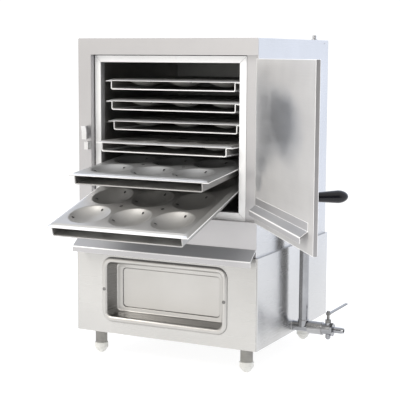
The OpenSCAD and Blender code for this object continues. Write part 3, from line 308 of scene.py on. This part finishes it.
sharpAngle = 50                           # degrees; flatter edges are shaded smooth on most pieces


# helpers for pieces that are made here
def addPiece(name, mesh, body, material):
    piece = bpy.data.objects.new(name, mesh)
    bpy.context.scene.collection.objects.link(piece)
    mesh.materials.append(material)
    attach(piece, body)
    return piece


def smoothByAngle(mesh, degrees):
    mesh.polygons.foreach_set("use_smooth", [True] * len(mesh.polygons))
    mesh.set_sharp_from_angle(angle=math.radians(degrees))


def meshFrom(build, name, smoothAngle=sharpAngle):
    mesh = bpy.data.meshes.new(name)
    build.to_mesh(mesh)
    build.free()
    smoothByAngle(mesh, smoothAngle)
    return mesh


def roundEdges(build, edges, radius, segments=2, material=-1):
    bmesh.ops.bevel(build, geom=edges, offset=radius * mm, segments=segments, profile=0.5, affect="EDGES",
                    clamp_overlap=True, material=material)


# faces between two loops of points
def bridge(build, one, two):
    for i in range(len(one)):
        j = (i + 1) % len(one)
        build.faces.new((one[i], one[j], two[j], two[i]))


# sheet and bar edges as a press brake and a file leave them: copies of the imported meshes with small rounds,
# and wider ones along the long folds of bent sheet, in near-white steel as painted highlights; radii in mm
foldRounds = {"door_drip_strip": 1.3, "sloped_apron": 1.4, "door_outer_skin": 1.0}
edgeRounds = {
    "upper_casing": 0.3, "back_panel": 0.5, "front_frame": 0.3, "door_outer_skin": 0.45, "door_inner_sheet": 0.4,
    "door_drip_strip": 0.4, "sloped_apron": 0.45, "lower_casing": 0.5, "hinge_fixed_leaves": 0.35,
    "hinge_door_leaves": 0.35, "latch_lever": 0.8, "latch_keeper": 0.6, "latch_boss": 0.4, "latch_spindle": 0.4,
    "valve_lever": 0.7, "lever_nut": 0.35, "gland_nut": 0.35, "valve_body": 0.5, "pipe_coupling": 0.6,
    "hose_tail": 0.25, "drain_cap": 0.5, "steam_vent": 0.4, "cable_gland": 0.6, "hinge_pins": 0.3,
    "drain_pipe": 0.4, "stand_pipe": 0.4,
}
edgeRounds.update({f"tray_carrier_{k}": 0.4 for k in trayNumbers})
homeCarriers = [f"tray_carrier_{k}" for k in range(1, 5)]     # their front edges get the near-white fold steel: painted highlights
edgeLook = {
    "weld": 0.002, "sheared": 1.6,                    # mm; narrower faces are a sheet's sheared edge
    "foldSide": 3.5, "foldLong": 85.7,                # mm; a fold is long, with wide sheet on both sides
    "flat": 0.4, "crease": 28,                        # degrees
    "slopeUp": (0.4, 0.95),                           # how far a slope's normal points up
    "faceWeight": 100,
}
bodyOf = {node: body for body, names in frame["record"]["behaviour"]["bodies"].items() for node in names}
finishOf = {name: material for material, names in finishes.items() for name in names}


def isCrease(edge, look):
    return edge.is_manifold and edge.calc_face_angle(0) > math.radians(look["crease"])


def isFold(edge, look):
    length = edge.calc_length()
    return (isCrease(edge, look) and edge.is_convex and length > look["foldLong"] * mm
            and all(face.calc_area() > look["foldSide"] * mm * length for face in edge.link_faces))


def softenEdges(name, radius, look):
    build = bmesh.new()
    build.from_mesh(nodes[name].data)
    bmesh.ops.remove_doubles(build, verts=build.verts, dist=look["weld"] * mm)
    bmesh.ops.dissolve_limit(build, angle_limit=math.radians(look["flat"]), verts=build.verts, edges=build.edges)
    bright = name in foldRounds or name in homeCarriers
    if name in foldRounds:
        roundEdges(build, [e for e in build.edges if isFold(e, look)], foldRounds[name], 4, 1)
        low, high = look["slopeUp"]
        for face in build.faces:          # upper side of the slopes gets the darker slope steel: painted shade
            if face.material_index == 0 and low < face.normal.z < high:
                face.material_index = 2
    roundEdges(build, [e for e in build.edges if isCrease(e, look)], radius, material=1 if bright else -1)
    if bright:                            # sheared edges get the same painted highlight as the folds
        for face in build.faces:
            if face.calc_area() < look["sheared"] * mm * max(e.calc_length() for e in face.edges):
                face.material_index = 1
    piece = addPiece(name + "_finished", meshFrom(build, name + "_finished"), bodyOf[name], finishOf[name])
    # the near-white fold steel and the darker slope steel are a painted highlight and painted shade
    if bright:
        piece.data.materials.append(steelFoldHighlight)
        piece.data.materials.append(steelSlopeShade)
    weight = piece.modifiers.new("flatFaces", "WEIGHTED_NORMAL")
    weight.keep_sharp = True
    weight.weight = look["faceWeight"]
    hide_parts(name)


for name, radius in edgeRounds.items():
    softenEdges(name, radius, edgeLook)
print("edges rounded on", len(edgeRounds), "nodes")

# idli plates, pressed from one sheet: nine round bowls with rolled edges and a sloping border; mm and degrees
plateLook = {
    "half": 152.4, "pitch": 91.0, "bowlWide": 83.0, "bowlDeep": 15.0, "bowlEdge": 5.0,
    "rise": 5.0, "border": 11.0, "bend": 2.5, "toe": 0.6, "rim": 2.2, "sheet": 1.0,
    "holeWide": 5.0, "holeRing": 34.0, "holeTurns": (75, 195, 315), "reliefWide": 7.0, "drillLong": 40.0,
    "around": 64, "bowlSteps": 9, "edgeSteps": 5, "bendSteps": 4, "drillSides": 16, "weld": 0.01, "smooth": 40,
    "steep": 0.5, "darkerTray": 5,            # faces steeper than this are hole edges; the tray given the darker plate
}
trayPlace = {
    "depth": 304.8, "lift": 1.3, "homeFront": -148.0, "pulls": {1: 11.0, 2: 9.0, 3: 1.0, 4: 49.0},
    "topRunner": 568.0, "runnerPitch": 41.3, "runnerFront": -157.0, "nose": 0.6,
    "reaches": {5: 143.0, 6: 232.0}, "tailLifts": {5: 18.1, 6: 21.7},
}


# trays 1 to 4 lie level on their runners; 5 and 6 tip over the runners' round front ends
def trayMatrix(k, place):
    runner = place["topRunner"] - (k - 1) * place["runnerPitch"]
    if k in place["pulls"]:
        front = place["homeFront"] - place["pulls"][k]
        return Matrix.Translation(Vector((0, front, runner + place["lift"])) * mm)
    nose, reach = place["nose"], place["reaches"][k]
    pivot = Matrix.Translation(Vector((0, place["runnerFront"] + nose, runner - nose)) * mm)
    tilt = Matrix.Rotation(math.atan2(place["tailLifts"][k], place["depth"] - reach), 4, "X")
    return pivot @ tilt @ Matrix.Translation(Vector((0, -reach, nose + place["lift"])) * mm)


# from the bowl's middle out: part of a ball, then the rolled edge up to the flat
def bowlProfile(look):
    wide, deep, edge, top = look["bowlWide"] / 2, look["bowlDeep"], look["bowlEdge"], look["rise"]
    steps, edgeSteps = look["bowlSteps"], look["edgeSteps"]
    ball = (wide * wide + deep * deep) / (2 * deep)
    middle = top - deep + ball
    edgeOut = math.sqrt((ball + edge) ** 2 - (middle - top + edge) ** 2)
    meet = math.asin(edgeOut / (ball + edge))
    points = [(ball * math.sin(meet * i / steps), middle - ball * math.cos(meet * i / steps))
              for i in range(steps + 1)]
    for i in range(1, edgeSteps + 1):
        lean = meet * (1 - i / edgeSteps)
        points.append((edgeOut - edge * math.sin(lean), top - edge + edge * math.cos(lean)))
    return points


# one square cell for each bowl, joined where they meet
def pressBowls(look, middles):
    build = bmesh.new()
    around, cell = look["around"], look["pitch"] / 2
    profile = bowlProfile(look)
    turns = [2 * math.pi * i / around for i in range(around)]
    reaches = [cell / max(abs(math.cos(a)), abs(math.sin(a))) for a in turns]
    for cx, cy in middles:
        rings = [[build.verts.new((cx, cy, profile[0][1]))] * around]
        for radius, height in profile[1:]:
            rings.append([build.verts.new((cx + radius * math.cos(a), cy + radius * math.sin(a), height))
                          for a in turns])
        rings.append([build.verts.new((cx + reach * math.cos(a), cy + reach * math.sin(a), look["rise"]))
                      for a, reach in zip(turns, reaches)])
        for inner, outer in zip(rings, rings[1:]):
            for i in range(around):
                j = (i + 1) % around
                build.faces.new(dict.fromkeys((inner[i], outer[i], outer[j], inner[j])))
    bmesh.ops.remove_doubles(build, verts=build.verts, dist=look["weld"])
    return build


# the border's outline, step by step outwards, and the line half-way down from which its front is painted pale as a
# highlight
def borderSteps(look):
    half, bend, low, toe, bends = (look[k] for k in ("half", "bend", "sheet", "toe", "bendSteps"))
    slopeEnd, flat = half - look["rim"], half - look["border"]
    slope = math.atan2(look["rise"] - low, slopeEnd - flat)
    bendStart = flat - bend * math.tan(slope / 2)
    leans = [slope * i / bends for i in range(bends + 1)]
    steps = [(bendStart + bend * math.sin(a), look["rise"] - bend + bend * math.cos(a)) for a in leans]
    toeStart = (slopeEnd - toe, low + toe * math.tan(slope))
    midway = ((steps[-1][0] + toeStart[0]) / 2, (steps[-1][1] + toeStart[1]) / 2)
    return steps + [midway, toeStart, (slopeEnd + toe, low), (half, low)], midway[0]


def growBorder(build, steps, before):
    edges = [e for e in build.edges if e.is_boundary]
    for size, height in steps:            # ring by ring
        made = bmesh.ops.extrude_edge_only(build, edges=edges)["geom"]
        edges = [g for g in made if isinstance(g, bmesh.types.BMEdge) and g.is_boundary]
        for vert in {v for e in edges for v in e.verts}:
            vert.co = Vector((vert.co.x * size / before, vert.co.y * size / before, height))
        before = size
    bmesh.ops.recalc_face_normals(build, faces=build.faces)
    if sum(face.normal.z for face in build.faces) < 0:
        bmesh.ops.reverse_faces(build, faces=build.faces)
    bmesh.ops.scale(build, vec=(mm, mm, mm), verts=build.verts)


# steam holes in the bowls and relief holes between them
def drillBits(look, middles):
    build = bmesh.new()
    ring, cell = look["holeRing"], look["pitch"] / 2
    turns = [math.radians(a) for a in look["holeTurns"]]
    holes = [(cx + ring * math.cos(a), cy + ring * math.sin(a), look["holeWide"])
             for cx, cy in middles for a in turns]
    holes += [(sx * cell, sy * cell, look["reliefWide"]) for sx in (-1, 1) for sy in (-1, 1)]
    for x, y, wide in holes:
        bmesh.ops.create_cone(build, cap_ends=True, segments=look["drillSides"], radius1=wide / 2 * mm,
                              radius2=wide / 2 * mm, depth=look["drillLong"] * mm,
                              matrix=Matrix.Translation(Vector((x, y, 0)) * mm))
    return build


def pressPlate(look):
    pitch, smooth, steep = look["pitch"], look["smooth"], look["steep"]
    middles = [(column * pitch, row * pitch) for row in (-1, 0, 1) for column in (-1, 0, 1)]
    build = pressBowls(look, middles)
    steps, highlightFrom = borderSteps(look)
    growBorder(build, steps, pitch * 1.5)             # out from the edge of the three rows
    sheet = bpy.data.objects.new("plateBlank", meshFrom(build, "plateBlank", smooth))
    bits = bpy.data.objects.new("plateDrills", meshFrom(drillBits(look, middles), "plateDrills", smooth))
    for helper in (sheet, bits):
        bpy.context.scene.collection.objects.link(helper)
    thick = sheet.modifiers.new("sheet", "SOLIDIFY")
    thick.thickness, thick.offset = look["sheet"] * mm, -1
    cut = sheet.modifiers.new("holes", "BOOLEAN")
    cut.object, cut.operation, cut.solver = bits, "DIFFERENCE", "EXACT"
    mesh = bpy.data.meshes.new_from_object(sheet.evaluated_get(bpy.context.evaluated_depsgraph_get()))
    for helper in (sheet, bits):
        bpy.data.objects.remove(helper)
    smoothByAngle(mesh, smooth)
    for face in mesh.polygons:            # rim and front slope painted pale as highlights, underside painted light, hole edges painted dark as shade
        if max(abs(face.center.x), abs(face.center.y)) > (look["half"] - look["rim"]) * mm:
            face.material_index = 1
        elif face.center.y < -highlightFrom * mm and face.normal.z > 0:
            face.material_index = 2
        elif face.normal.z < -steep:
            face.material_index = 3
        elif face.normal.z < steep:
            face.material_index = 4
    return mesh


pressedPlate = pressPlate(plateLook)
plateMiddle = Matrix.Translation(Vector((0, trayPlace["depth"] / 2, 0)) * mm)
for k in trayNumbers:
    mesh = pressedPlate.copy()
    mesh.transform(trayMatrix(k, trayPlace) @ plateMiddle)
    plateSteel = steelTrayDarker if k == plateLook["darkerTray"] else steelTray
    plate = addPiece(f"pressed_plate_{k}", mesh, f"tray_{k}", plateSteel)
    # white rim, pale front border and pale underside are painted highlights and light; dark hole walls painted shade
    for material in (steelFoldHighlight, steelBorderHighlight, steelUndersideLit, steelHoleShade):
        plate.data.materials.append(material)
    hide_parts(f"idli_plate_{k}")
print("plates pressed:", len(pressedPlate.polygons), "faces each")


# rounded rectangles joined ring by ring, each (half width, half height, corner radius, depth)
def loftRects(rings, corner=8):
    build = bmesh.new()
    loops = []
    for wide, high, radius, depth in rings:
        loop = []
        for turn, sx, sy in ((0, 1, 1), (90, -1, 1), (180, -1, -1), (270, 1, -1)):
            for i in range(corner + 1):
                a = math.radians(turn + 90 * i / corner)
                x = sx * (wide - radius) + radius * math.cos(a)
                z = sy * (high - radius) + radius * math.sin(a)
                loop.append(build.verts.new((x * mm, depth * mm, z * mm)))
        loops.append(loop)
    for one, two in zip(loops, loops[1:]):
        bridge(build, one, two)
    build.faces.new(loops[-1])
    return build


# service recess: one deep-drawn pan with a half-round bead outside and a stepped back; mm and degrees
recessLook = {
    "wide": 261.0, "high": 112.0, "corner": 11.0, "bead": 11.0, "beadHigh": 4.0, "depth": 30.0, "draft": 5.5,
    "backRound": 4.0, "panelSide": 19.0, "panelEnd": 15.0, "panelStep": 3.0, "stepRun": 2.6, "panelCorner": 8.0,
    "sheet": 1.0, "front": -192.0, "middle": 145.0,
    "wallCorner": 0.6, "roundCorner": 0.5,            # how far the corners tighten with the draft
    "beadSteps": 10, "wallSteps": 6, "roundSteps": 5, "panelSteps": 8, "smooth": 35, "steep": 0.6,
}


def drawRecess(look):
    wide, high, corner, depth = look["wide"] / 2, look["high"] / 2, look["corner"], look["depth"]
    halfBead, beadHigh, backRound = look["bead"] / 2, look["beadHigh"], look["backRound"]
    sink = (halfBead ** 2 - beadHigh ** 2) / (2 * beadHigh)
    arch = beadHigh + sink
    halfTurn = math.asin(halfBead / arch)
    rings = []
    for i in range(look["beadSteps"] + 1):            # across the bead, outside to inside
        a = halfTurn * (1 - 2 * i / look["beadSteps"])
        grow = halfBead + arch * math.sin(a)
        rings.append((wide + grow, high + grow, corner + grow, sink - arch * math.cos(a)))
    straight = depth - backRound
    inset = look["draft"] * straight / depth
    for i in range(1, look["wallSteps"] + 1):         # drafted wall
        part = i / look["wallSteps"]
        grow = -inset * part
        rings.append((wide + grow, high + grow, corner + grow * look["wallCorner"], straight * part))
    for i in range(1, look["roundSteps"] + 1):        # round into the back
        a = math.radians(90 * i / look["roundSteps"])
        grow = -inset - backRound * (1 - math.cos(a))
        rings.append((wide + grow, high + grow, corner + grow * look["roundCorner"],
                      straight + backRound * math.sin(a)))
    for i in range(look["panelSteps"] + 1):           # flat ledge, then the step down to the sunk panel
        part = i / look["panelSteps"]
        run = look["stepRun"] * (part - 0.5)
        deep = depth + look["panelStep"] * (1 - math.cos(math.pi * part)) / 2
        rings.append((wide - look["panelSide"] - run, high - look["panelEnd"] - run,
                      look["panelCorner"] - run, deep))
    build = loftRects(rings)
    bmesh.ops.translate(build, vec=(0, look["front"] * mm, look["middle"] * mm), verts=build.verts)
    bmesh.ops.recalc_face_normals(build, faces=build.faces)
    return build


recessMesh = meshFrom(drawRecess(recessLook), "drawnRecess", recessLook["smooth"])
for face in recessMesh.polygons:          # steep walls and the bead's feet get the darker wall steel: painted shade
    if abs(face.normal.y) < recessLook["steep"]:
        face.material_index = 1
recess = addPiece("drawn_recess", recessMesh, "cabinet", steelRecess)
recess.data.materials.append(steelWallShade)
thick = recess.modifiers.new("sheet", "SOLIDIFY")
thick.thickness, thick.offset = recessLook["sheet"] * mm, 0.0
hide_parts("service_recess")
print("recess drawn")

# doorway flange: four mitred strips, nearly white as a painted reflection; mm
flangeLook = {"halfWide": 170.0, "low": 304.0, "top": 622.0, "band": 14.5, "face": -173.2, "back": -172.0,
              "mitreGap": 0.35, "edgeGap": 1.3, "round": 0.4}


def mitredStrips(look):
    build = bmesh.new()
    x, low, top, band, gap, rim = (look[k] for k in ("halfWide", "low", "top", "band", "mitreGap", "edgeGap"))
    outer = [(rim - x, low), (x, low), (x, top - rim), (rim - x, top - rim)]
    inner = [(-x + band, low + band), (x - band, low + band), (x - band, top - band), (-x + band, top - band)]
    for i in range(4):
        j = (i + 1) % 4
        along = Vector(outer[j]) - Vector(outer[i])
        along.normalize()
        corners = [Vector(outer[i]) + along * gap, Vector(outer[j]) - along * gap,
                   Vector(inner[j]) - along * gap, Vector(inner[i]) + along * gap]
        front, back = [[build.verts.new((c.x * mm, y * mm, c.y * mm)) for c in corners]
                       for y in (look["face"], look["back"])]
        build.faces.new(front)
        build.faces.new(back[::-1])
        bridge(build, back, front)
    bmesh.ops.recalc_face_normals(build, faces=build.faces)
    roundEdges(build, list(build.edges), look["round"])
    return build


flange = addPiece("mitred_flange", meshFrom(mitredStrips(flangeLook), "mitredFlange"), "cabinet", steelFlangeWhite)
flange.modifiers.new("flatFaces", "WEIGHTED_NORMAL").keep_sharp = True
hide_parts("doorway_flange")


# bars of sheet set square to the frame, each given by its low and high corners in mm, with broken edges
def squareBars(name, corners, edge, material):
    build = bmesh.new()
    for low, high in corners:
        size = Vector(high) - Vector(low)
        place = Matrix.Translation((Vector(low) + Vector(high)) / 2 * mm) @ Matrix.Diagonal((*(size * mm), 1))
        bmesh.ops.create_cube(build, size=1, matrix=place)
    roundEdges(build, list(build.edges), edge)
    addPiece(name, meshFrom(build, name), "cabinet", material)


# the flange's return into the chamber, and dark strips in the joint round its outer edge: painted shadow of the gap
jambLook = {"half": 155.5, "low": 318.5, "top": 607.5, "from": -171.9, "to": -158.0, "sheet": 0.4, "edge": 0.1}
gapShadowLook = {"half": 170.0, "low": 304.0, "top": 622.0, "from": -172.6, "to": -171.9, "gap": 1.3, "edge": 0.2}


def lineDoorway(jamb, shadowGap):
    x, low, top, thin, front, back = (jamb[k] for k in ("half", "low", "top", "sheet", "from", "to"))
    returns = [((-x, front, low), (thin - x, back, top)),
               ((x - thin, front, low), (x, back, top)),
               ((thin - x, front, top - thin), (x - thin, back, top)),
               ((thin - x, front, low), (x - thin, back, low + thin))]
    squareBars("doorway_jamb", returns, jamb["edge"], steelJamb)
    x, low, top, gap, front, back = (shadowGap[k] for k in ("half", "low", "top", "gap", "from", "to"))
    shadowStrips = [((-x, front, low), (gap - x, back, top)),
             ((gap - x, front, top - gap), (x, back, top))]
    squareBars("doorway_gap_shadow", shadowStrips, shadowGap["edge"], gapShadow)


lineDoorway(jambLook, gapShadowLook)
print("doorway lined")


# a spot in mm, with Z turned to face outwards
def seatAt(spot, facing):
    return Matrix.Translation(Vector(spot) * mm) @ Vector(facing).to_track_quat("Z", "Y").to_matrix().to_4x4()


# domed heads, turned about their own axis: profile is (radius, height) in mm
def turnedHeads(name, profile, places, body, around=20):
    build = bmesh.new()
    turns = [2 * math.pi * i / around for i in range(around)]
    for spot, facing in places:
        seat = seatAt(spot, facing)
        loops = [[build.verts.new(seat @ (Vector((r * math.cos(a), r * math.sin(a), h)) * mm)) for a in turns]
                 for r, h in profile]
        for one, two in zip(loops, loops[1:]):
            bridge(build, one, two)
        build.faces.new(loops[-1])
        build.faces.new(loops[0][::-1])
    bmesh.ops.recalc_face_normals(build, faces=build.faces)
    addPiece(name, meshFrom(build, name), body, steelFitting)


rivetHead = [(2.6, -0.3), (2.6, 0.3), (2.4, 0.75), (1.9, 1.1), (1.1, 1.35), (0.3, 1.4)]
pinHead = [(1.4, -0.3), (1.4, 0.2), (1.2, 0.5), (0.7, 0.7), (0.2, 0.75)]
screwHead = [(3.4, -0.3), (3.4, 0.6), (3.2, 1.2), (2.6, 1.8), (1.7, 2.15), (0.9, 2.25), (0.8, 1.5)]
hingeLook = {"axis": (203.4, -192.9), "open": 128.5, "middles": (367.0, 554.0), "wall": 200.0, "leaf": 1.2,
             "doorOut": -2.6, "across": (15.0, 28.0), "up": (-21.0, 21.0)}


# a point of the open door, from its distance along the door and out of it
def doorPoint(look, along, out, z):
    turn = math.radians(look["open"])
    x = look["axis"][0] - along * math.cos(turn) - out * math.sin(turn)
    y = look["axis"][1] - along * math.sin(turn) + out * math.cos(turn)
    return (x, y, z)


def hingeRivets(look):
    grid = [(u, mid + up) for mid in look["middles"] for up in look["up"] for u in look["across"]]
    wall = [((look["wall"] + look["leaf"], look["axis"][1] + u, z), (1, 0, 0)) for u, z in grid]
    turn = math.radians(look["open"])
    away = (math.sin(turn), -math.cos(turn), 0)
    leaf = [(doorPoint(look, u, look["doorOut"] - look["leaf"], z), away) for u, z in grid]
    turnedHeads("hinge_wall_rivets", rivetHead, wall, "cabinet")
    turnedHeads("hinge_door_rivets", rivetHead, leaf, "door")


# pins at the casing's top rear corners, and screws along the two back panels
sidePins = {"half": 200.0, "back": 162.5, "up": 648.0}
backRows = [{"face": 187.0, "across": (-185.0, 0.0, 185.0), "up": (255.0, 450.0, 640.0)},
            {"face": 192.0, "across": (-190.0, 190.0), "up": (75.0, 205.0)}]


def casingFasteners(pins, rows):
    sides = [((sx * pins["half"], pins["back"], pins["up"]), (sx, 0, 0)) for sx in (-1, 1)]
    turnedHeads("casing_rivets", pinHead, sides, "cabinet")
    screws = [((x, row["face"], z), (0, 1, 0)) for row in rows for x in row["across"] for z in row["up"]]
    turnedHeads("back_screws", screwHead, screws, "cabinet")


hingeRivets(hingeLook)
casingFasteners(sidePins, backRows)
print("rivets and screws set")

# fillet welds: a lumpy bead round each tube where it meets sheet or pipe; spots are (place, facing, radius, size)
weldLook = {"around": 48, "across": 8, "lumps": 12, "lumpHigh": 0.14, "smooth": 60}
legSpots = [((sx * 168.0, y, 53.0), (0, 0, 1), 12.7, 1.5) for sx in (-1, 1) for y in (-156.0, 146.0)]
pipeSpots = [((205.0, -6.0, 67.0), (1, 0, 0), 10.0, 1.4), ((200.0, -6.0, 277.0), (1, 0, 0), 10.0, 1.4),
             ((228.0, -6.0, 81.0), (0, 0, 1), 10.4, 1.3)]


def weldRings(name, spots, look):
    build = bmesh.new()
    turns = [2 * math.pi * i / look["around"] for i in range(look["around"])]
    rolls = [2 * math.pi * i / look["across"] for i in range(look["across"])]
    for spot, facing, radius, size in spots:
        seat = seatAt(spot, facing)
        rings = []
        for a in turns:
            swell = size * (1 + look["lumpHigh"] * math.sin(look["lumps"] * a))
            outline = [(radius + swell * math.cos(b), swell * math.sin(b)) for b in rolls]
            rings.append([build.verts.new(seat @ (Vector((out * math.cos(a), out * math.sin(a), up)) * mm))
                          for out, up in outline])
        for one, two in zip(rings, rings[1:] + rings[:1]):
            bridge(build, two, one)
    bmesh.ops.recalc_face_normals(build, faces=build.faces)
    addPiece(name, meshFrom(build, name, look["smooth"]), "cabinet", steelFitting)


weldRings("leg_welds", legSpots, weldLook)
weldRings("pipe_welds", pipeSpots, weldLook)
print("welds laid")

# plain white floor, self-lit so that only a faint contact shadow shows, under a pale even sky:
# warm in front, bluish behind, and dim to the front right, where the room behind the camera is unlit
studio = {
    "floorHalf": 1.5, "floorTint": "#a8a8a8", "floorRough": 0.9, "floorGlow": 0.76,
    "frontSky": "#fffcf7", "backSky": "#e6edfc", "backGlow": 1.4, "backFrom": -0.3, "backFull": 0.7,
    "dimSky": "#4c4d50", "dimToward": (0.5, -0.866, 0.0), "dimFrom": 0.72, "dimFull": 0.93, "skyGlow": 1.08,
}
softboxes = [
    {"name": "keySoftbox", "place": (-1.2, -2.2, 2.6), "aim": (0, 0, 0.35), "size": (2.6, 1.8), "watts": 50,
     "tint": "#fffcf8"},
    {"name": "frontFill", "place": (0.35, -2.6, 0.75), "aim": (0, -0.1, 0.45), "size": (1.0, 0.6), "watts": 8,
     "tint": "#ffffff"},
]
white = (1, 1, 1, 1)


def layFloor(look):
    half = look["floorHalf"]
    mesh = bpy.data.meshes.new("studioFloor")
    mesh.from_pydata([(-half, -half, 0), (half, -half, 0), (half, half, 0), (-half, half, 0)], [], [(0, 1, 2, 3)])
    floor = bpy.data.objects.new("studioFloor", mesh)
    bpy.context.scene.collection.objects.link(floor)
    material, tree = newMaterial("paintedStudioFloor")
    shader = addNode(tree, "BsdfPrincipled", {"Base Color": linearFromHex(look["floorTint"]),
                                              "Roughness": look["floorRough"], "Emission Color": white,
                                              "Emission Strength": look["floorGlow"]})
    addNode(tree, "OutputMaterial", {}, {"Surface": shader.outputs["BSDF"]})
    mesh.materials.append(material)


# the camera itself sees plain white behind the part
def hangSky(look):
    world = bpy.data.worlds.new("studioSky")
    bpy.context.scene.world = world
    world.use_nodes = True
    tree = world.node_tree
    tree.nodes.clear()
    direction = addNode(tree, "TexCoord").outputs["Generated"]
    split = addNode(tree, "SeparateXYZ", {}, {"Vector": direction})
    toBack = addNode(tree, "MapRange", {1: look["backFrom"], 2: look["backFull"]}, {0: split.outputs["Y"]})
    backColour = [c * look["backGlow"] for c in linearFromHex(look["backSky"])]
    sky = addNode(tree, "MixRGB", {"Color1": linearFromHex(look["frontSky"]), "Color2": backColour},
                  {"Fac": toBack.outputs["Result"]})
    toDim = addNode(tree, "VectorMath", {"operation": "DOT_PRODUCT", 1: look["dimToward"]}, {0: direction})
    dim = addNode(tree, "MapRange", {1: look["dimFrom"], 2: look["dimFull"]}, {0: toDim.outputs["Value"]})
    room = addNode(tree, "MixRGB", {"Color2": linearFromHex(look["dimSky"])},
                   {"Fac": dim.outputs["Result"], "Color1": sky.outputs["Color"]})
    seen = addNode(tree, "LightPath").outputs["Is Camera Ray"]
    shown = addNode(tree, "MixRGB", {"Color2": white}, {"Fac": seen, "Color1": room.outputs["Color"]})
    glow = addNode(tree, "Background", {"Strength": look["skyGlow"]}, {"Color": shown.outputs["Color"]})
    addNode(tree, "OutputWorld", {}, {"Surface": glow.outputs["Background"]})


def hangSoftbox(look):
    data = bpy.data.lights.new(look["name"], "AREA")
    data.shape = "RECTANGLE"
    data.size, data.size_y = look["size"]
    data.energy = look["watts"]
    data.color = linearFromHex(look["tint"])[:3]
    lamp = bpy.data.objects.new(look["name"], data)
    lamp.location = look["place"]
    lamp.rotation_euler = (Vector(look["aim"]) - Vector(look["place"])).to_track_quat("-Z", "Y").to_euler()
    bpy.context.scene.collection.objects.link(lamp)


layFloor(studio)
hangSky(studio)
for box in softboxes:
    hangSoftbox(box)
bpy.context.scene.view_settings.view_transform = "Standard"
print("studio built")
